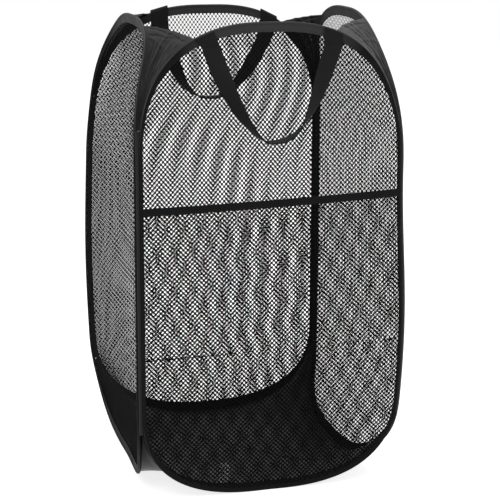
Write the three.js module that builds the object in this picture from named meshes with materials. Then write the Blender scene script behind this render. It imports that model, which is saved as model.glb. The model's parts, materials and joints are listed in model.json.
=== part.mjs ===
// A pop-up laundry hamper: four sprung steel hoops in fabric sleeves, each filled with net, are sewn together
// edge to edge into a square. Cloth gussets close its top corners, a cloth base hangs between the hoops' feet,
// a net pocket covers the lower front, and two webbing handles are sewn to the front and back rims.
//
// Millimetres, +Z up. The front faces -Y. The origin is on the ground, in the middle of the base.
//
// Each side is drawn in its own frame: x runs along the side, z is the height, and "out" is the distance
// outside the plane that holds the two hinge seams beside it.

import * as THREE from "three";
import { mergeVertices } from "three/addons/utils/BufferGeometryUtils.js";

// Driving dimensions of the hoops
const HOOP_WIDTH = 350;
const HEIGHT = 630;
const TOP_ARC_HEIGHT = 165;
const BOTTOM_ARC_HEIGHT = 122;
const CROWN_FLAT = 16; // the short level stretch at each hoop's top and foot
const ARC_ROUNDNESS = 2.4; // exponent of the superellipse that each arc follows
const ARC_STEPS = 8;

// The cloth pulls the arcs inwards between the corner seams, most at their crowns
const FRONT_TOP_BOW = 12;
const FRONT_FOOT_BOW = 10;
const SIDE_TOP_BOW = 28;
const SIDE_FOOT_BOW = 18;
const BOW_ACROSS = 1.3; // exponent of the bow from a corner seam to the middle of its side
const BOW_RISE = 1.2; // exponent of the bow along an arc's height

// Clearances
const SEAT_GAP = 0.3; // between pieces that touch on the real hamper
const WIRE_GAP = 0.1; // between the strip and its splice

// Spring strip and the splice that joins its ends
const STRIP_BREADTH = 2.6;
const STRIP_THICKNESS = 0.6;
const SPLICE_WALL = 0.3;
const SPLICE_LENGTH = 24;
const SPLICE_HEIGHT = 300;

// Sleeve: binding tape folded over the strip, stitched to the net beside it
const SLEEVE_THICKNESS = 4.5;
const SLEEVE_SIDE_WIDTH = 6.5;
const SLEEVE_CROWN_WIDTH = 13;
const SLEEVE_EDGE_BREADTH = 2.5; // the fold's flat outer edge
const TAPE_THICKNESS = 0.4;
const CHANNEL_DEPTH = 1.7;
const BULB_SHOULDER = 0.7; // depth at which the fold reaches its full thickness

// Corner seams, on the axes that the sides fold about
const SEAM_RADIUS = 1.25;
const SEAM_SIDES = 8;
const SEAM_SETBACK = 1.5; // from a seam's axis to the edge of the hoop beside it
const SEAM_DEPTH = 0.5; // from a seam's axis out to the sleeve's inner face
const SEAM_ARC_SHARE = 0.2; // how far a seam runs into each arc

// Net
const NET_THICKNESS = 0.5;
const NET_PITCH_X = 62;
const NET_PITCH_Z = 76;
const NET_CORD = 9; // width of the bars between gaps
const NET_EDGE_INSET = 2.8; // from the hoop's outline to the net's edge, inside the sleeve

// Gussets and base
const CLOTH_THICKNESS = 0.6;
// How far each gusset's hem stays from the middles of the two sides that it joins
const FRONT_LEFT_HEM_ON_FRONT = 102;
const FRONT_LEFT_HEM_ON_LEFT = 70;
const FRONT_RIGHT_HEM_ON_FRONT = 87;
const FRONT_RIGHT_HEM_ON_RIGHT = 55;
const BACK_RIGHT_HEM_ON_BACK = 117;
const BACK_RIGHT_HEM_ON_RIGHT = 100;
const BACK_LEFT_HEM_ON_BACK = 88;
const BACK_LEFT_HEM_ON_LEFT = 83;
const GUSSET_ROWS = 13;
const GUSSET_COLUMNS = 4;
const GUSSET_SAG_DEPTH = 5;
const BASE_THICKNESS = 0.8;
const BASE_CELLS = 12;
const BASE_RISE = 3; // height of the base's edge above the hoop's outline
const BASE_CORNER_INSET = 1.7; // from a seam's axis to the base's corner
const BASE_DROP = 1; // how far the cloth drops in each pass while it settles
const SETTLE_PASSES = 500;

// Pocket on the front
const POCKET_HEIGHT = 405;
const BAND_END_HEIGHT = 5; // the band's right end stands this much higher than its middle
const POCKET_BULGE = 8;
const POCKET_EDGE_INSET = 1;
const BAND_HEIGHT = 10;
const BAND_TAPE = 0.5;
const BAND_STEPS = 12;

// Handles
const STRAP_WIDTH = 25;
const STRAP_THICKNESS = 1.8;
const FRONT_STRAP_WEST = 80; // from the side's middle to the middle of a strap that leaves its end
const FRONT_STRAP_EAST = 82;
const FRONT_TAB_LEAN = 10; // the west end is sewn on this much further out at the rim
const BACK_STRAP_WEST = 97;
const BACK_STRAP_EAST = 72;
const FRONT_HANDLE_DROP = 118; // how far the loops hang below where they leave their ends
const BACK_HANDLE_DROP = 105;
const FRONT_HANDLE_SWAY = -11; // how far the loops' lowest stretch is pushed towards the east
const BACK_HANDLE_SWAY = 7;
const HANDLE_STEPS = 28;
// Exponents of each loop's sag and of its twist, towards its west and its east end
const FRONT_WEST_CURVE = 1.5;
const FRONT_EAST_CURVE = 2.9;
const BACK_WEST_CURVE = 2.1;
const BACK_EAST_CURVE = 2.8;
const FRONT_WEST_TWIST = 1.1;
const FRONT_EAST_TWIST = 1.7;
const BACK_WEST_TWIST = 5;
const BACK_EAST_TWIST = 1.2;
const FRONT_TAB_DROP = 12.5; // the stitched ends reach this far below the rim at their outer edges
const BACK_TAB_DROP = 9;
const TAB_INSET = 1; // from the hoop's outline down to the stitched end's upper edge
const SADDLE_STEPS = 6;
const SADDLE_RISE = 2; // how far the folded strap stands clear of the rim below it

// Blank tag
const TAG_WIDTH = 14;
const TAG_HEIGHT = 33;
const TAG_THICKNESS = 0.5;
const TAG_FROM_MIDDLE = 63;
const TAG_FOOT = 12;

// Worked out from the sizes above
const HALF_HOOP = HOOP_WIDTH / 2;
const HINGE = HALF_HOOP + SEAM_SETBACK; // half the distance between neighbouring seams' axes
const SLEEVE_MIDDLE = SEAM_DEPTH + SLEEVE_THICKNESS / 2;
const TOP_SPRING = HEIGHT - TOP_ARC_HEIGHT; // where the top arcs begin
const CHANNEL_BREADTH = SLEEVE_THICKNESS - 2 * TAPE_THICKNESS;
const CHANNEL_END = TAPE_THICKNESS + CHANNEL_DEPTH;
const SLOT_BREADTH = NET_THICKNESS + 2 * SEAT_GAP;
const LEG_BREADTH = SLOT_BREADTH + 2 * TAPE_THICKNESS;
const STRIP_MIDDLE = TAPE_THICKNESS + CHANNEL_DEPTH / 2;

const SIDES = {
  front: { turn: 0, topBow: FRONT_TOP_BOW, footBow: FRONT_FOOT_BOW },
  right: { turn: Math.PI / 2, topBow: SIDE_TOP_BOW, footBow: SIDE_FOOT_BOW },
  back: { turn: Math.PI, topBow: FRONT_TOP_BOW, footBow: FRONT_FOOT_BOW },
  left: { turn: -Math.PI / 2, topBow: SIDE_TOP_BOW, footBow: SIDE_FOOT_BOW },
};

// Each corner joins the west end of one side to the east end of the next.
const CORNERS = [
  {
    name: "front_left",
    west: "front",
    westHem: FRONT_LEFT_HEM_ON_FRONT,
    east: "left",
    eastHem: FRONT_LEFT_HEM_ON_LEFT,
  },
  {
    name: "front_right",
    west: "right",
    westHem: FRONT_RIGHT_HEM_ON_RIGHT,
    east: "front",
    eastHem: FRONT_RIGHT_HEM_ON_FRONT,
  },
  {
    name: "back_right",
    west: "back",
    westHem: BACK_RIGHT_HEM_ON_BACK,
    east: "right",
    eastHem: BACK_RIGHT_HEM_ON_RIGHT,
  },
  {
    name: "back_left",
    west: "left",
    westHem: BACK_LEFT_HEM_ON_LEFT,
    east: "back",
    eastHem: BACK_LEFT_HEM_ON_BACK,
  },
];

const MATERIALS = {
  binding: { color: 0x17171a, roughness: 0.8, metalness: 0 },
  steel: { color: 0x6b7078, roughness: 0.35, metalness: 1 },
  splice: { color: 0xa9abad, roughness: 0.4, metalness: 1 },
  net: { color: 0x101012, roughness: 0.7, metalness: 0 },
  nylon: { color: 0x1c1c1f, roughness: 0.45, metalness: 0 },
  webbing: { color: 0x1a1a1c, roughness: 0.85, metalness: 0 },
  label: { color: 0xe8e6e0, roughness: 0.8, metalness: 0 },
};

const hamper = new THREE.Group();
const groups = {};
for (const [name, side] of Object.entries(SIDES)) {
  groups[name] = new THREE.Group();
  groups[name].rotation.z = side.turn;
  hamper.add(groups[name]);
}

function addPiece(name, geometry, finish, parent = hamper) {
  const mesh = new THREE.Mesh(geometry, new THREE.MeshStandardMaterial(MATERIALS[finish]));
  mesh.name = name;
  parent.add(mesh);
}

// Geometry helpers

// A closed solid from points and triangles, turned the right way out.
function solidOf(points, triangles) {
  let volume = 0;
  const cross = new THREE.Vector3();
  for (const [a, b, c] of triangles) {
    volume += points[a].dot(cross.crossVectors(points[b], points[c]));
  }
  const faces = volume < 0 ? triangles.map(([a, b, c]) => [a, c, b]) : triangles;
  const geometry = new THREE.BufferGeometry().setFromPoints(points);
  geometry.setIndex(faces.flat());
  geometry.computeVertexNormals();
  return geometry;
}

// Rings of points joined in turn. A closed loft meets its own start; an open one gets flat ends.
function loft(rings, closed) {
  const sides = rings[0].length;
  const triangles = [];
  const spans = closed ? rings.length : rings.length - 1;
  for (let i = 0; i < spans; i++) {
    const here = i * sides;
    const next = ((i + 1) % rings.length) * sides;
    for (let j = 0; j < sides; j++) {
      const k = (j + 1) % sides;
      triangles.push([here + j, here + k, next + k], [here + j, next + k, next + j]);
    }
  }
  if (!closed) {
    const last = (rings.length - 1) * sides;
    for (let j = 1; j < sides - 1; j++) {
      triangles.push([0, j + 1, j], [last, last + j, last + j + 1]);
    }
  }
  return solidOf(rings.flat(), triangles);
}

// A thin solid between two matching layers of points, walled along every edge that only one triangle has.
function thicken(lower, upper, triangles) {
  const count = lower.length;
  const faces = [];
  const open = new Map();
  for (const [a, b, c] of triangles) {
    faces.push([a, b, c], [count + a, count + c, count + b]);
    for (const [from, to] of [
      [a, b],
      [b, c],
      [c, a],
    ]) {
      if (!open.delete(to + ":" + from)) open.set(from + ":" + to, [from, to]);
    }
  }
  for (const [a, b] of open.values()) {
    faces.push([b, a, count + a], [b, count + a, count + b]);
  }
  return solidOf([...lower, ...upper], faces);
}

// A sheet of cloth: a grid of points with a thickness, half of it on each side, or all above the points.
function sheet(grid, thickness, above = false) {
  const rows = grid.length;
  const columns = grid[0].length;
  const pointAt = (i, j) =>
    grid[THREE.MathUtils.clamp(i, 0, rows - 1)][THREE.MathUtils.clamp(j, 0, columns - 1)];
  const low = above ? 0 : -thickness / 2;
  const lower = [];
  const upper = [];
  const triangles = [];
  for (let i = 0; i < rows; i++) {
    for (let j = 0; j < columns; j++) {
      const down = new THREE.Vector3().subVectors(pointAt(i + 1, j), pointAt(i - 1, j));
      const across = new THREE.Vector3().subVectors(pointAt(i, j + 1), pointAt(i, j - 1));
      const normal = down.cross(across).normalize();
      if (above && normal.z < 0) normal.negate();
      lower.push(grid[i][j].clone().addScaledVector(normal, low));
      upper.push(grid[i][j].clone().addScaledVector(normal, low + thickness));
      if (i + 1 < rows && j + 1 < columns) {
        const a = i * columns + j;
        triangles.push([a, a + 1, a + columns + 1], [a, a + columns + 1, a + columns]);
      }
    }
  }
  return thicken(lower, upper, triangles);
}

// Moves every vertex of a geometry.
function bend(geometry, move) {
  const bare = geometry.clone();
  bare.deleteAttribute("normal");
  bare.deleteAttribute("uv");
  const merged = mergeVertices(bare);
  const position = merged.getAttribute("position");
  const points = Array.from({ length: position.count }, (_, i) =>
    move(position.getX(i), position.getY(i), position.getZ(i)),
  );
  const index = merged.getIndex();
  const triangles = [];
  for (let i = 0; i < index.count; i += 3) {
    triangles.push([index.getX(i), index.getX(i + 1), index.getX(i + 2)]);
  }
  return solidOf(points, triangles);
}

// The shape of a side

function bowAt(side, x, z) {
  const rise = THREE.MathUtils.clamp((z - TOP_SPRING) / TOP_ARC_HEIGHT, 0, 1);
  const fall = THREE.MathUtils.clamp((BOTTOM_ARC_HEIGHT - z) / BOTTOM_ARC_HEIGHT, 0, 1);
  const across = 1 - Math.min(Math.abs(x) / HINGE, 1) ** BOW_ACROSS;
  return (side.topBow * rise ** BOW_RISE + side.footBow * fall ** BOW_RISE) * across;
}

// A point in a side's own frame.
function onSide(side, x, out, z) {
  return new THREE.Vector3(x, -HINGE - out + bowAt(side, x, z), z);
}

// The same point in the hamper's frame.
function onHamper(side, x, out, z) {
  return onSide(side, x, out, z).applyAxisAngle(new THREE.Vector3(0, 0, 1), side.turn);
}

// A point of a hoop's outline, with the direction into the hoop and the sleeve's width there.
// turn runs from 0 at the side to a quarter turn at the crown; east and top pick the quarter.
function outlinePoint(turn, east, top) {
  const along = Math.cos(turn) ** (2 / ARC_ROUNDNESS);
  const up = Math.sin(turn) ** (2 / ARC_ROUNDNESS);
  const height = top ? TOP_ARC_HEIGHT : BOTTOM_ARC_HEIGHT;
  const inward = new THREE.Vector2(-SLEEVE_SIDE_WIDTH * along, -SLEEVE_CROWN_WIDTH * up);
  const width = inward.length();
  inward.normalize();
  const x = CROWN_FLAT / 2 + (HALF_HOOP - CROWN_FLAT / 2) * along;
  return {
    x: east ? x : -x,
    z: top ? TOP_SPRING + height * up : height - height * up,
    inX: east ? inward.x : -inward.x,
    inZ: top ? inward.y : -inward.y,
    width,
  };
}

// Once round the hoop, anticlockwise from the foot of its east side.
function hoopStations() {
  const quarter = (east, top) => {
    const turns = Array.from({ length: ARC_STEPS + 1 }, (_, i) => ((Math.PI / 2) * i) / ARC_STEPS);
    return turns.map((turn) => outlinePoint(turn, east, top));
  };
  return [
    ...quarter(true, true),
    ...quarter(false, true).reverse(),
    ...quarter(false, false),
    ...quarter(true, false).reverse(),
  ];
}

// The turn at which an arc has come in to a given distance from the middle of the side.
function turnAtReach(reach) {
  const share = (reach - CROWN_FLAT / 2) / (HALF_HOOP - CROWN_FLAT / 2);
  return Math.acos(share ** (ARC_ROUNDNESS / 2));
}

// The turn at which an arc has risen by a share of its height.
function turnAtRise(share) {
  return Math.asin(share ** (ARC_ROUNDNESS / 2));
}

const STATIONS = hoopStations();

// A ring of a piece that follows the hoop: its section has distances in from the outline and out from the
// middle of the sleeve.
function ringAt(side, station, section) {
  return section(station.width).map(([depth, out]) =>
    onSide(
      side,
      station.x + station.inX * depth,
      SLEEVE_MIDDLE + out,
      station.z + station.inZ * depth,
    ),
  );
}

// Pieces of one side

function sleeveSection(width) {
  const half = [
    [0, SLEEVE_EDGE_BREADTH / 2],
    [BULB_SHOULDER, SLEEVE_THICKNESS / 2],
    [CHANNEL_END + TAPE_THICKNESS, SLEEVE_THICKNESS / 2],
    [width, LEG_BREADTH / 2],
    [width, SLOT_BREADTH / 2],
    [CHANNEL_END + TAPE_THICKNESS, SLOT_BREADTH / 2],
    [CHANNEL_END, CHANNEL_BREADTH / 2],
    [TAPE_THICKNESS, CHANNEL_BREADTH / 2],
  ];
  const mirrored = half.map(([depth, out]) => [depth, -out]).reverse();
  return [...half, ...mirrored];
}

function sleeve(side) {
  return loft(
    STATIONS.map((station) => ringAt(side, station, sleeveSection)),
    true,
  );
}

function stripSection() {
  const near = STRIP_MIDDLE - STRIP_THICKNESS / 2;
  const far = STRIP_MIDDLE + STRIP_THICKNESS / 2;
  const half = STRIP_BREADTH / 2;
  return [
    [near, -half],
    [near, half],
    [far, half],
    [far, -half],
  ];
}

// The strip runs once round the hoop, and its ends meet inside the splice on the east side.
function springStrip(side) {
  const end = (z) => ({ ...STATIONS[0], z });
  const stations = [
    end(SPLICE_HEIGHT + SEAT_GAP / 2),
    ...STATIONS,
    end(SPLICE_HEIGHT - SEAT_GAP / 2),
  ];
  return loft(
    stations.map((station) => ringAt(side, station, stripSection)),
    false,
  );
}

function rectangle(width, height) {
  return [
    new THREE.Vector2(-width / 2, -height / 2),
    new THREE.Vector2(width / 2, -height / 2),
    new THREE.Vector2(width / 2, height / 2),
    new THREE.Vector2(-width / 2, height / 2),
  ];
}

function splice() {
  const bore = [STRIP_THICKNESS + 2 * WIRE_GAP, STRIP_BREADTH + 2 * WIRE_GAP];
  const shape = new THREE.Shape(rectangle(bore[0] + 2 * SPLICE_WALL, bore[1] + 2 * SPLICE_WALL));
  shape.holes.push(new THREE.Path(rectangle(bore[0], bore[1])));
  const tube = new THREE.ExtrudeGeometry(shape, { depth: SPLICE_LENGTH, bevelEnabled: false });
  tube.translate(
    HALF_HOOP - STRIP_MIDDLE,
    -HINGE - SLEEVE_MIDDLE,
    SPLICE_HEIGHT - SPLICE_LENGTH / 2,
  );
  return tube;
}

// A point inside the hoop's outline by a given depth.
function insetPoint(station, depth) {
  return new THREE.Vector2(station.x + station.inX * depth, station.z + station.inZ * depth);
}

// The diamond gaps that fit inside a convex outline.
function diamondGaps(outline) {
  const inside = (point) =>
    outline.every((a, i) => {
      const b = outline[(i + 1) % outline.length];
      return (b.x - a.x) * (point.y - a.y) - (b.y - a.y) * (point.x - a.x) > 0;
    });
  const halfX = (NET_PITCH_X - NET_CORD) / 2;
  const halfZ = (NET_PITCH_Z - NET_CORD) / 2;
  const gaps = [];
  const rows = Math.ceil(HEIGHT / NET_PITCH_Z);
  const columns = Math.ceil(HOOP_WIDTH / NET_PITCH_X / 2);
  for (let row = -rows; row <= rows; row++) {
    const z = HEIGHT / 2 + (row * NET_PITCH_Z) / 2;
    const shift = row % 2 === 0 ? 0 : NET_PITCH_X / 2;
    for (let column = -columns; column <= columns; column++) {
      const x = column * NET_PITCH_X + shift;
      const diamond = [
        new THREE.Vector2(x, z + halfZ),
        new THREE.Vector2(x + halfX, z),
        new THREE.Vector2(x, z - halfZ),
        new THREE.Vector2(x - halfX, z),
      ];
      if (diamond.every(inside)) gaps.push(diamond);
    }
  }
  return gaps;
}

// A net with a whole border between two matching rings of points, and gaps inside the inner one. move
// places a point of either face.
function net(outerRing, innerRing, move) {
  const gaps = diamondGaps(innerRing);
  const flat = [...innerRing, ...gaps.flat(), ...outerRing];
  const triangles = THREE.ShapeUtils.triangulateShape(innerRing, gaps);
  const outerStart = flat.length - outerRing.length;
  for (let i = 0; i < innerRing.length; i++) {
    const k = (i + 1) % innerRing.length;
    triangles.push([i, outerStart + i, outerStart + k], [i, outerStart + k, k]);
  }
  const turned = triangles.map(([a, b, c]) => {
    const u = new THREE.Vector2().subVectors(flat[b], flat[a]);
    const v = new THREE.Vector2().subVectors(flat[c], flat[a]);
    return u.cross(v) > 0 ? [a, b, c] : [a, c, b];
  });
  const face = (depth) => flat.map((point) => move(point.x, point.y, depth));
  return thicken(face(0), face(NET_THICKNESS), turned);
}

function sideNet(side) {
  const outer = STATIONS.map((station) => insetPoint(station, NET_EDGE_INSET));
  const inner = STATIONS.map((station) => insetPoint(station, station.width + SEAT_GAP));
  const innerFace = SLEEVE_MIDDLE - NET_THICKNESS / 2;
  return net(outer, inner, (x, z, depth) => onSide(side, x, innerFace + depth, z));
}

for (const [name, side] of Object.entries(SIDES)) {
  addPiece(name + "_sleeve", sleeve(side), "binding", groups[name]);
  addPiece(name + "_spring_strip", springStrip(side), "steel", groups[name]);
  addPiece(name + "_strip_splice", splice(), "splice", groups[name]);
  addPiece(name + "_net", sideNet(side), "net", groups[name]);
}

// Corners: a seam where two hoops are sewn together, and the gusset above it

const SEAM_TOP_TURN = turnAtRise(SEAM_ARC_SHARE);

function cornerSeam() {
  const foot = outlinePoint(SEAM_TOP_TURN, true, false).z;
  const head = outlinePoint(SEAM_TOP_TURN, true, true).z;
  const seam = new THREE.CylinderGeometry(SEAM_RADIUS, SEAM_RADIUS, head - foot, SEAM_SIDES);
  seam.rotateX(Math.PI / 2);
  seam.translate(0, 0, (head + foot) / 2);
  return seam;
}

// The gusset fills the corner above the seam, up to its free hem.
function gusset(corner) {
  const edge = (sideName, hem, east, climb) => {
    const turn = THREE.MathUtils.lerp(SEAM_TOP_TURN, turnAtReach(hem), climb);
    const point = outlinePoint(turn, east, true);
    const clear = SEAT_GAP + CLOTH_THICKNESS / 2;
    return onHamper(
      SIDES[sideName],
      point.x - point.inX * clear,
      SLEEVE_MIDDLE,
      point.z - point.inZ * clear,
    );
  };
  const grid = [];
  for (let i = 0; i <= GUSSET_ROWS; i++) {
    const climb = i / GUSSET_ROWS;
    const from = edge(corner.west, corner.westHem, false, climb);
    const to = edge(corner.east, corner.eastHem, true, climb);
    const inward = new THREE.Vector3(-from.x - to.x, -from.y - to.y, 0).normalize();
    const row = [];
    for (let j = 0; j <= GUSSET_COLUMNS; j++) {
      const share = j / GUSSET_COLUMNS;
      const sag = GUSSET_SAG_DEPTH * climb * 4 * share * (1 - share);
      row.push(new THREE.Vector3().lerpVectors(from, to, share).addScaledVector(inward, sag));
    }
    grid.push(row);
  }
  return sheet(grid, CLOTH_THICKNESS);
}

for (const corner of CORNERS) {
  // The seam stands where the west side's own frame has its west end.
  const foot = new THREE.Vector3(-HINGE, -HINGE, 0);
  foot.applyAxisAngle(new THREE.Vector3(0, 0, 1), SIDES[corner.west].turn);
  const seam = cornerSeam();
  seam.translate(foot.x, foot.y, foot.z);
  addPiece(corner.name + "_seam", seam, "binding");
  addPiece(corner.name + "_gusset", gusset(corner), "nylon");
}

// Base: a skin of cloth held along the four hoops' feet, which settles under its own weight

function basePanel() {
  const last = SEAM_TOP_TURN;
  const out = SEAM_DEPTH - SEAT_GAP - BASE_THICKNESS;
  // One edge of the base, from the west corner of its side to the east corner.
  const edgePoint = (side, share) => {
    const east = share > 0;
    const turn = THREE.MathUtils.lerp(Math.PI / 2, last, Math.abs(share));
    const point = outlinePoint(turn, east, false);
    return onHamper(
      side,
      point.x + point.inX * BASE_RISE,
      out,
      point.z + point.inZ * BASE_RISE,
    );
  };
  const cornerHeight = edgePoint(SIDES.front, 1).z;
  const corner = (signX, signY) => {
    const reach = HINGE - BASE_CORNER_INSET;
    return new THREE.Vector3(signX * reach, signY * reach, cornerHeight);
  };
  const cells = BASE_CELLS;
  const share = (i) => (2 * i) / cells - 1;
  const grid = [];
  for (let i = 0; i <= cells; i++) {
    grid.push([]);
    for (let j = 0; j <= cells; j++) {
      const atCorner = (i === 0 || i === cells) && (j === 0 || j === cells);
      let point;
      if (atCorner) point = corner(Math.sign(share(i)), Math.sign(share(j)));
      else if (j === 0) point = edgePoint(SIDES.front, share(i));
      else if (j === cells) point = edgePoint(SIDES.back, -share(i));
      else if (i === 0) point = edgePoint(SIDES.left, -share(j));
      else if (i === cells) point = edgePoint(SIDES.right, share(j));
      else point = new THREE.Vector3(HINGE * share(i), HINGE * share(j), 0);
      grid[i].push(point);
    }
  }
  const sum = new THREE.Vector3();
  for (let pass = 0; pass < SETTLE_PASSES; pass++) {
    for (let i = 1; i < cells; i++) {
      for (let j = 1; j < cells; j++) {
        sum.copy(grid[i - 1][j]).add(grid[i + 1][j]).add(grid[i][j - 1]).add(grid[i][j + 1]);
        grid[i][j].copy(sum.multiplyScalar(1 / 4));
        grid[i][j].z = Math.max(grid[i][j].z - BASE_DROP, 0);
      }
    }
  }
  return sheet(grid, BASE_THICKNESS, true);
}

addPiece("base_panel", basePanel(), "nylon");

// Pocket: a second net over the lower front, bound along its open top

const FRONT = SIDES.front;
const POCKET_FACE = SLEEVE_MIDDLE + SLEEVE_THICKNESS / 2 + SEAT_GAP;
const BAND_STANDOFF = BAND_TAPE + SEAT_GAP; // the band's inner leg lies between the net and the sleeve

function pocketBulge(x, z) {
  const across = 1 - (x / HALF_HOOP) ** 2;
  const upward = Math.sin((Math.PI / 2) * Math.min(z / POCKET_HEIGHT, 1));
  return POCKET_BULGE * across * upward;
}

function pocketTop(x) {
  return POCKET_HEIGHT + (BAND_END_HEIGHT * x) / HALF_HOOP;
}

function pocketNet() {
  const top = POCKET_HEIGHT - BAND_TAPE - SEAT_GAP;
  const foot = STATIONS.filter((station) => station.z <= BOTTOM_ARC_HEIGHT);
  const outer = foot.map((station) => insetPoint(station, POCKET_EDGE_INSET));
  const inner = foot.map((station) => insetPoint(station, station.width));
  for (let i = BAND_STEPS; i >= 0; i--) {
    const share = (2 * i) / BAND_STEPS - 1;
    outer.push(new THREE.Vector2((HALF_HOOP - POCKET_EDGE_INSET) * share, top));
    inner.push(new THREE.Vector2((HALF_HOOP - SLEEVE_SIDE_WIDTH) * share, top - BAND_HEIGHT));
  }
  return net(outer, inner, (x, z, depth) => {
    const lifted = z > POCKET_HEIGHT / 2 ? z + pocketTop(x) - POCKET_HEIGHT : z;
    const standoff = (BAND_STANDOFF * z) / POCKET_HEIGHT;
    return onSide(FRONT, x, POCKET_FACE + standoff + pocketBulge(x, z) + depth, lifted);
  });
}

// The band is folded over the pocket's edge, with the net in its slot.
function pocketBand() {
  const slot = NET_THICKNESS + 2 * SEAT_GAP;
  const outer = slot / 2 + BAND_TAPE;
  const middle = POCKET_FACE + BAND_STANDOFF + NET_THICKNESS / 2;
  const halfSection = [
    [-BAND_HEIGHT, outer],
    [0, outer],
  ];
  const section = [
    ...halfSection,
    [0, -outer],
    [-BAND_HEIGHT, -outer],
    [-BAND_HEIGHT, -slot / 2],
    [-BAND_TAPE, -slot / 2],
    [-BAND_TAPE, slot / 2],
    [-BAND_HEIGHT, slot / 2],
  ];
  const reach = HALF_HOOP - POCKET_EDGE_INSET;
  const shape = new THREE.Shape(section.map(([rise, out]) => new THREE.Vector2(rise, out)));
  const bar = new THREE.ExtrudeGeometry(shape, {
    depth: 2 * reach,
    steps: BAND_STEPS,
    bevelEnabled: false,
  });
  return bend(bar, (rise, out, along) => {
    const x = along - reach;
    return onSide(FRONT, x, middle + out + pocketBulge(x, POCKET_HEIGHT), pocketTop(x) + rise);
  });
}

addPiece("pocket_net", pocketNet(), "net", groups.front);
addPiece("pocket_band", pocketBand(), "binding", groups.front);

// Handles: a strap whose ends are sewn to the rim, and a loop that hangs from them

function rimHeight(x) {
  const share = (Math.abs(x) - CROWN_FLAT / 2) / (HALF_HOOP - CROWN_FLAT / 2);
  return TOP_SPRING + TOP_ARC_HEIGHT * (1 - share ** ARC_ROUNDNESS) ** (1 / ARC_ROUNDNESS);
}

// Height of the line where a strap leaves its stitched ends.
function flexHeight(reach, drop) {
  return rimHeight(reach) - drop;
}

const FRONT_REACH = FRONT_STRAP_WEST + FRONT_TAB_LEAN + STRAP_WIDTH / 2;
const BACK_REACH = BACK_STRAP_WEST + STRAP_WIDTH / 2;
const FRONT_STRAP = {
  west: FRONT_STRAP_WEST,
  east: FRONT_STRAP_EAST,
  flex: flexHeight(FRONT_REACH, FRONT_TAB_DROP),
  drop: FRONT_HANDLE_DROP,
  sway: FRONT_HANDLE_SWAY,
  curves: [FRONT_WEST_CURVE, FRONT_EAST_CURVE],
  twists: [FRONT_WEST_TWIST, FRONT_EAST_TWIST],
  clearReach: FRONT_REACH,
};
const BACK_STRAP = {
  west: BACK_STRAP_WEST,
  east: BACK_STRAP_EAST,
  flex: flexHeight(BACK_REACH, BACK_TAB_DROP),
  drop: BACK_HANDLE_DROP,
  sway: BACK_HANDLE_SWAY,
  curves: [BACK_WEST_CURVE, BACK_EAST_CURVE],
  twists: [BACK_WEST_TWIST, BACK_EAST_TWIST],
  clearReach: BACK_STRAP_EAST - STRAP_WIDTH / 2,
};

// The front handle's stitched end lies flat on the outside of the sleeve.
function frontTab(middle, lean) {
  const foot = FRONT_STRAP.flex + SEAT_GAP;
  const half = STRAP_WIDTH / 2;
  const head = (x) => new THREE.Vector2(x, rimHeight(x) - TAB_INSET);
  const shape = new THREE.Shape([
    new THREE.Vector2(middle - half, foot),
    new THREE.Vector2(middle + half, foot),
    head(middle + half - lean),
    head(middle - half - lean),
  ]);
  const plate = new THREE.ExtrudeGeometry(shape, { depth: STRAP_THICKNESS, bevelEnabled: false });
  return bend(plate, (x, z, depth) => onSide(FRONT, x, POCKET_FACE + depth, z));
}

// The back handle's stitched end goes up the outside of the rim, over it and down the inside.
function backSaddle(strapMiddle) {
  const flex = BACK_STRAP.flex;
  const nearMiddle = strapMiddle - (Math.sign(strapMiddle) * STRAP_WIDTH) / 2;
  const inner = SEAM_DEPTH - SEAT_GAP - STRAP_THICKNESS;
  const outer = POCKET_FACE + STRAP_THICKNESS;
  const middle = (inner + outer) / 2;
  const radius = (outer - inner) / 2;
  const top = rimHeight(nearMiddle) + SADDLE_RISE - radius + STRAP_THICKNESS;
  const arch = (size, from, to) =>
    Array.from({ length: SADDLE_STEPS + 1 }, (_, i) => {
      const angle = THREE.MathUtils.lerp(from, to, i / SADDLE_STEPS);
      return new THREE.Vector2(middle + size * Math.cos(angle), top + size * Math.sin(angle));
    });
  const shape = new THREE.Shape([
    new THREE.Vector2(outer, flex),
    ...arch(radius, 0, Math.PI),
    new THREE.Vector2(inner, flex + SEAT_GAP),
    new THREE.Vector2(inner + STRAP_THICKNESS, flex + SEAT_GAP),
    ...arch(radius - STRAP_THICKNESS, Math.PI, 0),
    new THREE.Vector2(outer - STRAP_THICKNESS, flex),
  ]);
  const bar = new THREE.ExtrudeGeometry(shape, {
    depth: STRAP_WIDTH,
    steps: SADDLE_STEPS,
    bevelEnabled: false,
  });
  return bend(bar, (out, z, along) => {
    const x = strapMiddle + along - STRAP_WIDTH / 2;
    const climb = Math.max(z - flex - SEAT_GAP, 0) / (top - flex - SEAT_GAP);
    const slope = rimHeight(x) - rimHeight(nearMiddle);
    return onSide(SIDES.back, x, out, z + slope * Math.min(climb, 1));
  });
}

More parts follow.
